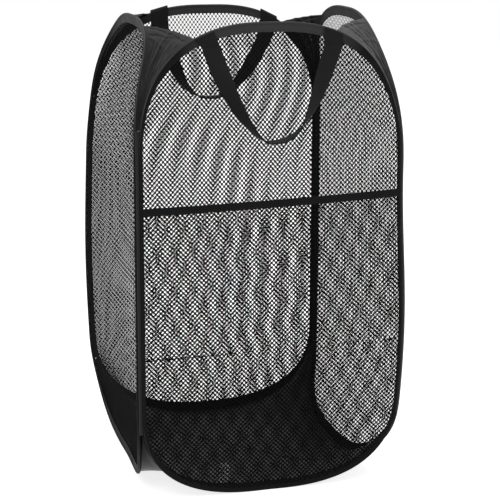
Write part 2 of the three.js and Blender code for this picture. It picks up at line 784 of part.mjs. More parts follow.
// The loop hangs from both stitched ends. Its strap lies flat along the side at the ends and turns edge-on
// at the bottom. towards is 1 for a loop outside the hamper and -1 for one inside it.
function handleLoop(side, strap, face, towards) {
  const halfSpan = (strap.west + strap.east) / 2;
  const centre = (strap.east - strap.west) / 2;
  const rings = [];
  for (let i = 0; i <= HANDLE_STEPS; i++) {
    const share = (2 * i) / HANDLE_STEPS - 1;
    const end = share > 0 ? 1 : 0;
    const curve = strap.curves[end];
    const fall = 1 - Math.abs(share) ** curve;
    const quarter = (Math.PI / 2) * fall ** strap.twists[end];
    const twist = share > 0 ? Math.PI - quarter : quarter;
    const lean = (STRAP_WIDTH / 2) * Math.sin(twist) + STRAP_THICKNESS / 2;
    const height = strap.flex - SEAT_GAP - strap.drop * fall;
    const middle = new THREE.Vector3(
      centre + halfSpan * share + strap.sway * (1 - share ** 2),
      -HINGE + bowAt(side, strap.clearReach, height) - face - towards * lean,
      height,
    );
    const broad = new THREE.Vector3(Math.cos(twist), -towards * Math.sin(twist), 0);
    const slope = Math.sign(share) * strap.drop * curve * Math.abs(share) ** (curve - 1);
    const along = new THREE.Vector3(halfSpan - 2 * strap.sway * share, 0, slope);
    const thin = new THREE.Vector3().crossVectors(along, broad).normalize();
    const corner = (a, b) =>
      middle
        .clone()
        .addScaledVector(broad, (a * STRAP_WIDTH) / 2)
        .addScaledVector(thin, (b * STRAP_THICKNESS) / 2);
    rings.push([corner(-1, -1), corner(1, -1), corner(1, 1), corner(-1, 1)]);
  }
  return loft(rings, false);
}

const frontLoop = handleLoop(FRONT, FRONT_STRAP, POCKET_FACE, 1);
const backLoop = handleLoop(SIDES.back, BACK_STRAP, SEAM_DEPTH - SEAT_GAP, -1);
const frontWestTab = frontTab(-FRONT_STRAP_WEST, FRONT_TAB_LEAN);
addPiece("front_handle_left_tab", frontWestTab, "webbing", groups.front);
addPiece("front_handle_right_tab", frontTab(FRONT_STRAP_EAST, 0), "webbing", groups.front);
addPiece("front_handle_loop", frontLoop, "webbing", groups.front);
addPiece("back_handle_left_tab", backSaddle(BACK_STRAP_EAST), "webbing", groups.back);
addPiece("back_handle_right_tab", backSaddle(-BACK_STRAP_WEST), "webbing", groups.back);
addPiece("back_handle_loop", backLoop, "webbing", groups.back);

// Blank tag, sewn inside the front sleeve's foot

function tag() {
  const shape = new THREE.Shape(rectangle(TAG_WIDTH, TAG_HEIGHT));
  const plate = new THREE.ExtrudeGeometry(shape, { depth: TAG_THICKNESS, bevelEnabled: false });
  const inner = SEAM_DEPTH - SEAT_GAP - TAG_THICKNESS;
  const middle = TAG_FOOT + TAG_HEIGHT / 2;
  return bend(plate, (x, z, depth) => onSide(FRONT, x - TAG_FROM_MIDDLE, inner + depth, z + middle));
}

addPiece("blank_tag", tag(), "label", groups.front);

export default hamper;
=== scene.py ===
"""Pop up laundry hamper: fine nets, folded binding tape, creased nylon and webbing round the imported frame."""

import contextlib
import json
import math

import bpy
import numpy as np
from mathutils import Matrix, Vector


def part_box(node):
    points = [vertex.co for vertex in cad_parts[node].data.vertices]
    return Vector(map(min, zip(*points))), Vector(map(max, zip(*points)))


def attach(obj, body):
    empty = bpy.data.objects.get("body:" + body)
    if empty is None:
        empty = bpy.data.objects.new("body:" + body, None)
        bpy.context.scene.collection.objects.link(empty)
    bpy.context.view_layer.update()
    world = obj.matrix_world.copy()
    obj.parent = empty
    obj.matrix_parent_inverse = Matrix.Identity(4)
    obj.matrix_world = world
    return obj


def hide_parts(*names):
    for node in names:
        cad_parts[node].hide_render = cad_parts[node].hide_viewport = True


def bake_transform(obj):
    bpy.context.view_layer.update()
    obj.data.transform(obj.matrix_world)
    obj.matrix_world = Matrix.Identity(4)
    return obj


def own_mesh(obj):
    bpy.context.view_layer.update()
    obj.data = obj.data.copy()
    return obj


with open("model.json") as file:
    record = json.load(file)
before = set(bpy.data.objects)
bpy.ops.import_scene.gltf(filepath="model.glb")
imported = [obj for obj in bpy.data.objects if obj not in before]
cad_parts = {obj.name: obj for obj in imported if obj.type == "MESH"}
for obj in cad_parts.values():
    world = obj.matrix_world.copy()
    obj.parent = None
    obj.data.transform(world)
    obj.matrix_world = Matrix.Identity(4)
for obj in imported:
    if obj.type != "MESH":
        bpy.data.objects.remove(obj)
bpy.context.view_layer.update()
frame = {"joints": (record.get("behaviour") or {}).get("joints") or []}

bl_info = {
    "name": "Pop Up Laundry Hamper",
    "version": (1, 0, 0),
    "blender": (4, 5, 0),
    "location": "View3D > Sidebar > Hamper",
    "description": "Dresses a collapsible net hamper in its nets, binding tape, nylon and webbing",
    "category": "Object",
}

MM = 0.001

# Driving sizes, in metres, read from the frame
HINGE = abs(next(joint for joint in frame["joints"] if joint["name"] == "left_fold")["pos_m"][0])
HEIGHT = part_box("front_sleeve")[1].z
HALF_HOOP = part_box("front_sleeve")[1].x
FRONT_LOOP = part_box("front_handle_loop")
BACK_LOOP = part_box("back_handle_loop")
SEAM_FOOT, SEAM_HEAD = (end.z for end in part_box("front_left_seam"))

# The hoops' outline, as on the solids
TOP_ARC_HEIGHT = 165 * MM
BOTTOM_ARC_HEIGHT = 122 * MM
HALF_CROWN_FLAT = 8 * MM
ARC_ROUNDNESS = 2.4
ARC_SAMPLES = 600
TOP_SPRING = HEIGHT - TOP_ARC_HEIGHT
ARC_REACH = HALF_HOOP - HALF_CROWN_FLAT
FINE_STATION = 0.5 * MM

# A side's leans at top and foot: the most, where it starts, where it is full, and how flat it is across
FRONT_LEANS = [(12 * MM, TOP_SPRING, HEIGHT, 1.3), (10 * MM, BOTTOM_ARC_HEIGHT, 0, 1.3)]
RIGHT_LEANS = [(22.2 * MM, 430 * MM, 621 * MM, 5.4), (28 * MM, 155 * MM, 0, 3.9)]
LEFT_LEANS = [(32.2 * MM, 430 * MM, 621 * MM, 4.4), (19 * MM, 155 * MM, 0, 1.8)]
FRONT_LEAN_CURVE = 1.2
RIGHT_CROWN_RISE = 6.2 * MM

# Two corners are out of square: each swell's height, its reach up and down, and its step outwards
CORNER_SWELLS = {
    (1, -1): [(219 * MM, 213 * MM, 8 * MM), (555 * MM, 110 * MM, -5.8 * MM)],
    (-1, 1): [(261 * MM, 243 * MM, 6 * MM), (537 * MM, 120 * MM, -6.8 * MM), (45 * MM, 90 * MM, -6 * MM)],
}

# Binding tape folded over each hoop, with its section in millimetres round the strip and in shares beyond it
TAPE_SIDE_WIDTH = 4.3 * MM
TAPE_CROWN_WIDTH = 13 * MM
TAPE_MIDDLE = 2.75 * MM
TAPE_THICKNESS = 0.35 * MM
TAPE_STATION = 3.4 * MM
STRIP_DEPTH = 3.6 * MM
STRIP_SECTION = [(0, 0), (0.12, 0.95), (0.55, 1.65), (1.2, 2.05), (2, 2.1), (2.8, 1.7), (3.6, 1.15)]
LEG_SECTION = [(0.25, 0.95), (0.5, 0.85), (0.7, 0.6), (0.85, 0.74), (1, 0.68)]
STITCH_LEG = 2
STITCH_SHARE = 0.7
# Painted top light on the tape's crown: how far below the top it starts, and how far it takes to grow full
PAINTED_LIGHT_START = 34 * MM
PAINTED_LIGHT_REACH = 24 * MM

# Steel strip, its splice and the whipping of the corner seams
STRIP_MIDDLE = 1.2 * MM
STRIP_HALVES = (0.3 * MM, 1.3 * MM)
STRIP_EDGE = 0.1 * MM
SPLICE_HALVES = (0.62 * MM, 1.5 * MM)
SPLICE_HEIGHT = 300 * MM
SPLICE_LENGTH = 24 * MM
SPLICE_STATIONS = 49
CRIMP_SHARE = 0.14
WHIPPING_RADIUS = 2.1 * MM
WHIPPING_PITCH = 3.1 * MM
WHIPPING_DIP = 0.18
WHIPPING_STATIONS = 261

# Nets, pocket and tag
NET_INSET = 3.2 * MM
LEAST_HOLE_SHARE = 0.3
POCKET_TOP = 405 * MM
POCKET_END_RISE = 5 * MM
POCKET_BULGE = 8 * MM
POCKET_FACE = 5.3 * MM
POCKET_TUCK = 14 * MM
POCKET_STANDOFF = 0.55 * MM
BAND_STANDOFF = 0.8 * MM
BAND_LIFT = 0.25 * MM
BAND_INSET = MM
BAND_STATIONS = 150
BAND_SECTION = [(-10, 0.75), (-8.6, 0.85), (-7.6, 0.7), (-5, 0.95), (-2, 1), (-0.8, 0.9), (-0.1, 0.5), (0, 0)]
TAG_THICKNESS = 0.3 * MM
TAG_GAP = 0.25 * MM
TAG_CURL = 1.6 * MM

# Handles: where the straps leave their ends, how far they sway east, and the exponents of sag and twist
STRAP_HALF_WIDTH = 12.5 * MM
STRAP_THICKNESS = 1.8 * MM
LOOP_STATIONS = 161
FRONT_STRAP = {
    "west": FRONT_LOOP[0].x + STRAP_HALF_WIDTH,
    "east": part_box("front_handle_right_tab")[1].x - STRAP_HALF_WIDTH,
    "reach": -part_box("front_handle_left_tab")[0].x,
    "flex": FRONT_LOOP[1].z,
    "drop": FRONT_LOOP[1].z - FRONT_LOOP[0].z,
    "sway": -11 * MM,
    "curves": (1.5, 2.9),
    "twists": (1.1, 1.7),
}
BACK_STRAP = {
    "west": STRAP_HALF_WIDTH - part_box("back_handle_right_tab")[1].x,
    "east": -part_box("back_handle_left_tab")[0].x - STRAP_HALF_WIDTH,
    "reach": -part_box("back_handle_left_tab")[1].x,
    "flex": BACK_LOOP[1].z,
    "drop": BACK_LOOP[1].z - BACK_LOOP[0].z,
    "sway": 7 * MM,
    "curves": (2.1, 2.8),
    "twists": (5, 1.2),
}
BACK_FACE = 0.2 * MM
FRONT_TAB_LEAN = 10 * MM
TAB_TOP_INSET = MM
TAB_STEPS = 14
SADDLE_RISE = 2 * MM
SADDLE_STEPS = 25
BOX_INSET = 3 * MM
BOX_TOP_INSET = 4 * MM

# Gusset creases, as shares: where each lies, how it leans, its width and its depth
GUSSET_CREASES = [(0.93, 0.06, 0.016, 0.7), (0.86, -0.08, 0.014, 0.5), (0.76, 0.12, 0.02, -0.5)]
SEAM_CREASES = [
    (0.3, 0.18, 0.05, 0.45), (0.52, -0.12, 0.04, -0.5), (0.68, 0.1, 0.04, 0.45), (0.42, 0.05, 0.02, 0.3),
]
GUSSET_GRID = (91, 61)

# Base cloth
BASE_CELLS = 72
BASE_PASSES = 9000
BASE_DROP = MM
BASE_DROP_CELLS = 12
BASE_GROUND = 0.5 * MM
BASE_OUT = 0.7 * MM
BASE_INSET = 3 * MM
BASE_CORNER_INSET = 1.7 * MM


def gentle(share):
    """A lean that grows evenly, as the front's and back's do."""
    return share ** FRONT_LEAN_CURVE


def smooth(share):
    """Goes smoothly from 0 to 1."""
    return share * share * (3 - 2 * share)


def ramp(z, start, full):
    """How far a height has come from where something starts to where it is full."""
    return np.clip((z - start) / (full - start), 0, 1)


def unit(vectors):
    """The same vectors, each one metre long."""
    return vectors / np.linalg.norm(vectors, axis=-1, keepdims=True)


def run_along(path):
    """How far along a path each of its points lies."""
    return np.concatenate(([0], np.cumsum(np.linalg.norm(np.diff(path, axis=0), axis=1))))


def read_at(places, run, rows):
    """Rows of values between those given along a run."""
    return np.column_stack([np.interp(places, run, column) for column in rows.T])


def out_of_square(points):
    """Moves points of a true square hamper to where its slack corners take them."""
    points = np.array(points, float)
    x, y, z = np.moveaxis(points.copy(), -1, 0)
    for (east, north), swells in CORNER_SWELLS.items():
        share = (1 + east * x / HINGE) * (1 + north * y / HINGE) / 4
        for middle, reach, size in swells:
            swell = (1 + np.cos(math.pi * np.clip((z - middle) / reach, -1, 1))) / 2
            points[..., 0] += east * share * size * swell
    return points


class Side:
    """One hoop of the hamper: the body it rides on, where it faces, and how its arcs lean in."""

    def __init__(self, name, turn, leans, ease, crown_rise=0):
        self.name = name
        self.body = name + "_side"
        self.turn = math.radians(turn)
        self.leans = leans
        self.ease = ease
        self.crown_rise = crown_rise

    def bow(self, x, z):
        """How far the side leans in at that place of its face."""
        reach = np.minimum(np.abs(x) / HINGE, 1)
        return sum(
            most * self.ease(ramp(z, start, full)) * (1 - reach ** flatness)
            for most, start, full, flatness in self.leans
        )

    def place(self, x, z, out):
        """Turns places on the side's own face into points of the hamper."""
        x, z, out = np.broadcast_arrays(np.asarray(x, float), z, out)
        y = self.bow(x, z) - HINGE - out
        z = z + self.crown_rise * ramp(z, TOP_SPRING, HEIGHT) ** 2
        cos, sin = math.cos(self.turn), math.sin(self.turn)
        return out_of_square(np.stack((x * cos - y * sin, x * sin + y * cos, z), axis=-1))


SIDES = [
    Side("front", 0, FRONT_LEANS, gentle),
    Side("right", 90, RIGHT_LEANS, smooth, RIGHT_CROWN_RISE),
    Side("back", 180, FRONT_LEANS, gentle),
    Side("left", -90, LEFT_LEANS, smooth),
]
FRONT, RIGHT, BACK, LEFT = SIDES

# Each corner: the side whose west end it holds, the side whose east end it holds, and its hem's reach on both
CORNERS = [
    ("front_left", FRONT, 102 * MM, LEFT, 79 * MM, ("front_side", "left_side")),
    ("front_right", RIGHT, 82 * MM, FRONT, 87 * MM, ("right_side", "front_side")),
    ("back_right", BACK, 117 * MM, RIGHT, 100 * MM, ("back_right_corner", "right_side")),
    ("back_left", LEFT, 83 * MM, BACK, 88 * MM, ("left_side", "back_side")),
]


def length(name, description, size, least=0.0):
    """A length for the panel, given in millimetres."""
    return bpy.props.FloatProperty(
        name=name, description=description, default=size * MM, min=least * MM, unit="LENGTH",
    )


def pair(name, description, sizes, least):
    """Two lengths for the panel, given in millimetres."""
    return bpy.props.FloatVectorProperty(
        name=name, description=description, default=[size * MM for size in sizes], size=2,
        min=least * MM, unit="LENGTH",
    )


def shade(name, description, default):
    """A colour for the panel."""
    return bpy.props.FloatVectorProperty(
        name=name, description=description, default=default, size=3, subtype="COLOR", min=0, max=1,
    )


def angle(name, description, default):
    """An angle for the panel."""
    return bpy.props.FloatProperty(name=name, description=description, default=default, subtype="ANGLE")


class HamperNetSettings(bpy.types.PropertyGroup):
    """Sizes and colour of the knitted net."""

    front_cell: pair("Front cell", "Width and height of one cell of the front net", (5.9, 6.4), 3)
    back_cell: pair("Back cell", "Width and height of one cell of the back net", (5.7, 7.6), 3)
    side_cell: pair("Side cell", "Width and height of one cell of the left and right nets", (6.2, 7), 3)
    pocket_cell: pair("Pocket cell", "Width and height of one cell of the pocket's net", (7.7, 5.7), 3)
    drift: length("Drift", "How far the cells wander from straight rows", 1.2)
    front_cord: pair("Front cord", "Widths of the front net's cord and of its knots", (0.85, 2.8), 0.1)
    left_cord: pair("Left cord", "Widths of the left net's cord and of its knots", (1, 3.3), 0.1)
    back_cord: pair("Back cord", "Widths of the back and right nets' cord and of its knots", (0.5, 2), 0.1)
    pocket_cord: pair("Pocket cord", "Widths of the pocket net's cord and of its knots", (0.45, 1.85), 0.1)
    cord_depth: length("Cord depth", "How far the middle of a cord stands above its edges", 0.45)
    colour: shade("Colour", "Colour of the net's yarn", (0.005, 0.005, 0.0052))


class HamperTapeSettings(bpy.types.PropertyGroup):
    """Sizes and colour of the binding tape and its stitches."""

    stitch_pitch: length("Stitch pitch", "Distance from one stitch to the next", 3.2, 2)
    stitch_length: length("Stitch length", "Length of the thread that shows in one stitch", 2.5)
    stitch_width: length("Stitch width", "Width of the sewing thread", 0.5)
    pucker: length("Pucker", "How far the sewn tape ripples along its stitches", 0.16)
    colour: shade("Colour", "Colour of the binding tape", (0.005, 0.005, 0.0053))
    # Painted highlight: the paler colour painted along the tape's lit fold and over its top-lit crown
    rubbed_colour: shade("Rubbed colour", "Colour of the binding tape where it is worn", (0.11, 0.11, 0.11))
    thread_colour: shade("Thread colour", "Colour of the sewing thread", (0.006, 0.006, 0.0063))


class HamperNylonSettings(bpy.types.PropertyGroup):
    """Sizes and colour of the thin nylon in the corner gussets and the base."""

    thickness: length("Thickness", "Thickness of the nylon cloth", 0.35)
    crease: length("Crease depth", "Depth of the deepest creases in the gussets", 3.2)
    colour: shade("Colour", "Colour of the nylon cloth", (0.004, 0.004, 0.0043))


class HamperWebbingSettings(bpy.types.PropertyGroup):
    """Sizes and colour of the handles' webbing."""

    rib_pitch: length("Rib pitch", "Distance from one cross rib of the webbing to the next", 2.8, 1)
    rib_depth: length("Rib depth", "Height of the webbing's cross ribs", 0.22)
    colour: shade("Colour", "Colour of the webbing", (0.006, 0.006, 0.0063))


class HamperStageSettings(bpy.types.PropertyGroup):
    """Lights, floor and camera."""

    camera_place: bpy.props.FloatVectorProperty(
        name="Camera place", description="Where the camera stands",
        default=(-0.5397, -1.9625, 0.7740), size=3, subtype="TRANSLATION",
    )
    camera_yaw: angle("Camera yaw", "How far the camera looks to the right of straight ahead", 0.278018)
    camera_pitch: angle("Camera pitch", "How far the camera looks down", 0.230871)
    camera_roll: angle("Camera roll", "How far the camera tips anticlockwise", 0.004189)
    lens: bpy.props.FloatProperty(
        name="Lens", description="Focal length of the camera, in millimetres",
        default=105.86, min=20,
    )
    world_light: bpy.props.FloatProperty(
        name="World light", description="Strength of the light from all round", default=0.4, min=0,
    )
    key_power: bpy.props.FloatProperty(
        name="Key light power", description="Power of the main soft lamp",
        default=22, min=0, unit="POWER",
    )


def columns(mesh, collection, attribute, width, kind=float):
    """Reads one attribute of all of a mesh's vertices, loops or faces as rows."""
    items = getattr(mesh, collection)
    values = np.empty(len(items) * width, kind)
    items.foreach_get(attribute, values)
    return values.reshape(-1, width) if width > 1 else values


def add(primitive, name, **options):
    """Adds a primitive with its operator and names it."""
    bpy.ops.object.select_all(action="DESELECT")
    primitive(**options)
    piece = bpy.context.active_object
    piece.name = name
    piece.data.name = name
    return piece


@contextlib.contextmanager
def edit_mode(action):
    """Edits the active mesh, with all of it selected or none."""
    bpy.ops.object.mode_set(mode="EDIT")
    bpy.ops.mesh.select_all(action=action)
    yield
    bpy.ops.object.mode_set(mode="OBJECT")


def merge_doubles():
    """Joins points that lie on each other."""
    bpy.ops.mesh.remove_doubles(threshold=0.01 * MM)


def face_outwards():
    """Turns the active piece's faces outwards."""
    with edit_mode("SELECT"):
        bpy.ops.mesh.normals_make_consistent(inside=False)


def grid_piece(name, points, run, across, rubbed=None, closed=False, tube=False):
    """A cloth or strap whose rows and columns of points are given, with a UV map in metres.
    Its faces look towards the cross product of its columns' and rows' directions.
    Where given, the painted light mask says how pale each point is painted as highlight and top light, from 0
    to 1."""
    rows, row_points = points.shape[0] - 1, points.shape[1] - 1
    piece = add(
        bpy.ops.mesh.primitive_grid_add, name, x_subdivisions=row_points, y_subdivisions=rows, size=1,
    )
    mesh = piece.data
    start = columns(mesh, "vertices", "co", 3)[:, :2]
    column, row = np.rint((start + 0.5) * (row_points, rows)).astype(int).T
    mesh.vertices.foreach_set("co", points[row, column].ravel())
    corner = columns(mesh, "loops", "vertex_index", 1, np.int32)
    places = np.column_stack((run[row], across[column]))[corner]
    mesh.uv_layers.active.data.foreach_set("uv", places.ravel())
    if rubbed is not None:
        attribute = mesh.attributes.new("rubbed", "FLOAT", "POINT")
        attribute.data.foreach_set("value", rubbed[row, column].astype(np.float32))
    if closed or tube:
        with edit_mode("SELECT"):
            merge_doubles()
    if tube:
        with edit_mode("DESELECT"):
            bpy.ops.mesh.select_non_manifold()
            bpy.ops.mesh.fill_holes(sides=0)
    bpy.ops.object.shade_smooth()
    return piece


def thicken(piece, thickness):
    """Gives a cloth its thickness, half to each side."""
    wall = piece.modifiers.new("Thickness", "SOLIDIFY")
    wall.thickness = thickness
    wall.offset = 0
    bpy.context.view_layer.objects.active = piece
    bpy.ops.object.modifier_apply(modifier=wall.name)


def dress(piece, finish, body=None):
    """Gives a finished piece its material and slot, and the body that it rides on."""
    piece.data.materials.clear()
    piece.data.materials.append(bpy.data.materials[finish])
    if body:
        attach(piece, body)


def rounded(share):
    """How far an arc still reaches one way, where it has gone that share the other way."""
    return (1 - share ** ARC_ROUNDNESS) ** (1 / ARC_ROUNDNESS)


def hoop_outline(spacing):
    """Walks once round a hoop's outer edge, from the middle of its foot up its east side.
    Gives rows of x, z, the inward step's x and z, and the run so far, with the start repeated at the end."""
    turn = np.linspace(0, math.pi / 2, ARC_SAMPLES)
    along = np.cos(turn) ** (2 / ARC_ROUNDNESS)
    up = np.sin(turn) ** (2 / ARC_ROUNDNESS)
    along[-1] = 0
    x = HALF_CROWN_FLAT + ARC_REACH * along
    step_x = -TAPE_SIDE_WIDTH * along
    step_z = TAPE_CROWN_WIDTH * up
    head = np.column_stack((x, TOP_SPRING + TOP_ARC_HEIGHT * up, step_x, -step_z))
    foot = np.column_stack((x, BOTTOM_ARC_HEIGHT * (1 - up), step_x, step_z))
    east = np.vstack((foot[::-1], head))
    ring = np.vstack((east, east[::-1] * (-1, 1, -1, 1), east[:1]))
    run = run_along(ring[:, :2])
    stations = np.linspace(0, run[-1], round(run[-1] / spacing) + 1)
    return np.column_stack((read_at(stations, run, ring), stations))


def arc_height(reach):
    """Height of a hoop's top arc at that distance from its middle."""
    return TOP_SPRING + TOP_ARC_HEIGHT * rounded(np.clip((np.abs(reach) - HALF_CROWN_FLAT) / ARC_REACH, 0, 1))


def half_width(z):
    """Half the width of a hoop at that height."""
    rise = np.maximum(ramp(z, TOP_SPRING, HEIGHT), ramp(z, BOTTOM_ARC_HEIGHT, 0))
    return HALF_CROWN_FLAT + ARC_REACH * rounded(rise)


def hoop_level(x, z):
    """1 on the outline of the nets, a little inside the hoop's outer edge, and more outside it."""
    reach = np.maximum(np.abs(x) - HALF_CROWN_FLAT, 0) / (ARC_REACH - NET_INSET)
    above = np.maximum(z - TOP_SPRING, 0) / (TOP_ARC_HEIGHT - NET_INSET)
    below = np.maximum(BOTTOM_ARC_HEIGHT - z, 0) / (BOTTOM_ARC_HEIGHT - NET_INSET)
    rise = np.maximum(above, below)
    return (reach ** ARC_ROUNDNESS + rise ** ARC_ROUNDNESS) ** (1 / ARC_ROUNDNESS)


def pull_inside(x, z):
    """Moves what lies outside the nets' outline onto it."""
    level = np.maximum(hoop_level(x, z), 1)
    core_x = np.clip(x, -HALF_CROWN_FLAT, HALF_CROWN_FLAT)
    core_z = np.clip(z, BOTTOM_ARC_HEIGHT, TOP_SPRING)
    return core_x + (x - core_x) / level, core_z + (z - core_z) / level


def ripple(run, cycles, shift=0.0):
    """An uneven ripple of about that many waves round a closed run, from -1 to 1."""
    turn = 2 * math.pi * run / run[-1]
    wave = np.sin(cycles * turn + shift) + 0.6 * np.sin(round(cycles * 0.63) * turn + 2.1 + shift)
    return (wave + 0.5 * np.sin(round(cycles * 1.71) * turn + 0.7 - shift)) / 2.1


def flat_net(name, cell, cord, settings, top):
    """A flat net of round holes inside a hoop's outline, drawn as x, height and depth."""
    width, height = cell
    cells = math.ceil(2 * HALF_HOOP / width + HEIGHT / height) + 2
    piece = add(
        bpy.ops.mesh.primitive_grid_add, name, x_subdivisions=cells, y_subdivisions=cells, size=cells,
    )
    mesh = piece.data
    across = (width / math.sqrt(2), height / math.sqrt(2), 1)
    with edit_mode("SELECT"):
        bpy.ops.transform.rotate(value=math.pi / 4, orient_axis="Z", center_override=(0, 0, 0))
        bpy.ops.transform.resize(value=across, center_override=(0, 0, 0))
        bpy.ops.transform.translate(value=(0, HEIGHT / 2, 0))
    points = columns(mesh, "vertices", "co", 3)
    x, z, _ = points.T
    points[:, 0] = x + settings.drift * np.sin(17 * z + 9 * x) * np.cos(11 * x - 4 * z)
    points[:, 1] = z + settings.drift * np.sin(13 * x - 7 * z) * np.cos(9 * z + 5 * x)
    mesh.vertices.foreach_set("co", points.ravel())
    x, z, _ = columns(mesh, "polygons", "center", 3).T
    corner = columns(mesh, "loops", "vertex_index", 1, np.int32).reshape(-1, 4)
    cut = np.zeros(len(points), bool)
    cut[corner[(hoop_level(x, z) > 1) | (z > top)]] = True
    used, corner = np.unique(corner[~cut[corner].all(axis=1)], return_inverse=True)
    x, z = pull_inside(points[used, 0], np.minimum(points[used, 1], top))
    mesh.clear_geometry()
    points = np.column_stack((x, z, 0 * x))
    mesh.from_pydata(*net_cords(points, corner.reshape(-1, 4), cord, settings.cord_depth))
    return piece


def net_cords(points, corner, cord, depth):
    """Points and faces of the cords between round holes, one hole in each cell of four corners."""
    cell = points[corner]
    middle = cell.mean(axis=1, keepdims=True)

    def drawn_in(edge, width):
        step = edge - middle
        reach = np.linalg.norm(step, axis=-1, keepdims=True) + 0.01 * MM
        inner = middle + step * np.maximum(1 - width / 2 / reach, LEAST_HOLE_SHARE)
        inner[..., 2] = -depth
        return inner.reshape(-1, 3)

    knots = drawn_in(cell, cord[1])
    sides = drawn_in((cell + np.roll(cell, -1, axis=1)) / 2, cord[0])
    knot = len(points) + np.arange(corner.size).reshape(corner.shape)
    side = knot + corner.size
    after, knot_after = np.roll(corner, -1, axis=1), np.roll(knot, -1, axis=1)
    faces = np.concatenate([
        np.stack(three, axis=-1).reshape(-1, 3)
        for three in ((corner, after, side), (corner, side, knot), (after, knot_after, side))
    ])
    return np.vstack((points, knots, sides)), [], faces.tolist()


def flat_area(mesh):
    """Area of a flat net's cords, seen square on."""
    mesh.calc_loop_triangles()
    corners = columns(mesh, "loop_triangles", "vertices", 3, np.int32)
    points = columns(mesh, "vertices", "co", 3)[corners][:, :, :2]
    u, v = points[:, 1] - points[:, 0], points[:, 2] - points[:, 0]
    return float(np.abs(u[:, 0] * v[:, 1] - u[:, 1] * v[:, 0]).sum() / 2)


def sewn_rows(side, path, middle, out, settings, signs=(1, -1)):
    """Middles, directions and face steps of stitches along a path of x and height on a side's own face.
    There is a row for each sign: 1 is on the outer face and -1 on the inner one."""
    run = run_along(path)
    count = round(run[-1] / settings.stitch_pitch)
    places = (np.arange(count) + 0.5) * run[-1] / count
    rows = []
    for sign in signs:
        level = np.broadcast_to(middle + sign * out, len(path))

        def at(where, lift):
            x, z, depth = (np.interp(where, run, values) for values in (path[:, 0], path[:, 1], level))
            return side.place(x, z, depth + lift)

        here = at(places, 0)
        ahead = at(places + 0.2 * MM, 0) - at(places - 0.2 * MM, 0)
        rows.append((here, unit(ahead), unit(at(places, sign * MM) - here)))
    return rows


def stitches(name, rows, settings, body):
    """Rows of sewn stitches, each one ball of thread drawn out along its seam."""
    ball = add(bpy.ops.mesh.primitive_ico_sphere_add, "thread_ball", subdivisions=1, radius=1)
    points = columns(ball.data, "vertices", "co", 3)
    faces = columns(ball.data, "loops", "vertex_index", 1, np.int32).reshape(-1, 3)
    bpy.data.objects.remove(ball)
    centres, along, face = (np.vstack(parts) for parts in zip(*rows))
    half = (settings.stitch_length / 2, settings.stitch_width / 2, settings.stitch_width / 3)
    placed = centres[:, None, :] + sum(
        size * points[None, :, k, None] * direction[:, None, :]
        for k, (size, direction) in enumerate(zip(half, (along, np.cross(face, along), face)))
    )
    mesh = bpy.data.meshes.new(name)
    repeated = faces[None] + len(points) * np.arange(len(centres))[:, None, None]
    mesh.from_pydata(placed.reshape(-1, 3), [], repeated.reshape(-1, 3).tolist())
    piece = bpy.data.objects.new(name, mesh)
    bpy.context.scene.collection.objects.link(piece)
    mesh.shade_smooth()
    dress(piece, "Sewing Thread", body)


def feed(tree, socket, value):
    """Links a socket to the given output, or gives it the value."""
    if isinstance(value, bpy.types.NodeSocket):
        tree.links.new(value, socket)
    else:
        socket.default_value = value


def node(tree, kind, inputs, **options):
    """Adds one node with its options, feeds its inputs, and returns its outputs."""
    made = tree.nodes.new("ShaderNode" + kind)
    for name, value in options.items():
        setattr(made, name, value)
    for name, value in inputs.items():
        feed(tree, made.inputs[name], value)
    return made.outputs


def math_node(tree, operation, first, second=0.5):
    """Adds a Math node on two sockets or numbers and returns its output."""
    return node(tree, "Math", {0: first, 1: second}, operation=operation)[0]


def group_node(tree, name, inputs):
    """Adds one of the shared node groups and returns its outputs."""
    return node(tree, "Group", inputs, node_tree=bpy.data.node_groups[name])


def new_group(name, inputs, outputs):
    """Starts a shader node group and returns its tree, inputs and output node."""
    group = bpy.data.node_groups.new(name, "ShaderNodeTree")
    for label, kind, value in inputs:
        socket = group.interface.new_socket(name=label, in_out="INPUT", socket_type="NodeSocket" + kind)
        if value is not None:
            socket.default_value = value
    for label, kind in outputs:
        group.interface.new_socket(name=label, in_out="OUTPUT", socket_type="NodeSocket" + kind)
    return group, group.nodes.new("NodeGroupInput").outputs, group.nodes.new("NodeGroupOutput").inputs


def weave_group():
    """Over and under threads on a UV map in metres: a height from 0 to 1."""
    pitches = [(label, "Float", 0.5 * MM) for label in ("Along Pitch", "Across Pitch")]
    group, given, result = new_group(
        "Cloth Weave", [("Vector", "Vector", None), *pitches], [("Height", "Float")],
    )
    parts = node(group, "SeparateXYZ", {"Vector": given["Vector"]})
    waves = []
    for axis, pitch in (("X", "Along Pitch"), ("Y", "Across Pitch")):
        turns = math_node(group, "DIVIDE", parts[axis], given[pitch])
        waves.append(math_node(group, "SINE", math_node(group, "MULTIPLY", turns, math.pi)))
    lifted = math_node(group, "ADD", math_node(group, "MULTIPLY", *waves), 1.0)
    feed(group, result["Height"], math_node(group, "MULTIPLY", lifted, 0.5))


def dye_group():
    """Uneven dye and lint: a colour that drifts about the given one, and a mask of lint."""
    group, given, result = new_group(
        "Cloth Dye",
        [
            ("Colour", "Color", (0.01, 0.01, 0.01, 1)), ("Faded Colour", "Color", (0.02, 0.02, 0.02, 1)),
            ("Patch Scale", "Float", 30.0),
        ],
        [("Colour", "Color"), ("Patches", "Float")],
    )
    place = node(group, "TexCoord", {})["Object"]
    noise = node(group, "TexNoise", {
        "Vector": place, "Scale": given["Patch Scale"], "Detail": 6, "Roughness": 0.62,
    })["Fac"]
    patches = node(group, "MapRange", {"Value": noise, "From Min": 0.35, "From Max": 0.7})["Result"]
    dye = {"Factor": patches, "A": given["Colour"], "B": given["Faded Colour"]}
    feed(group, result["Colour"], node(group, "Mix", dye, data_type="RGBA")["Result"])
    feed(group, result["Patches"], patches)


def new_material(name):
    """Starts a material and returns its tree."""
    finish = bpy.data.materials.new(name)
    finish.use_nodes = True
    return finish.node_tree


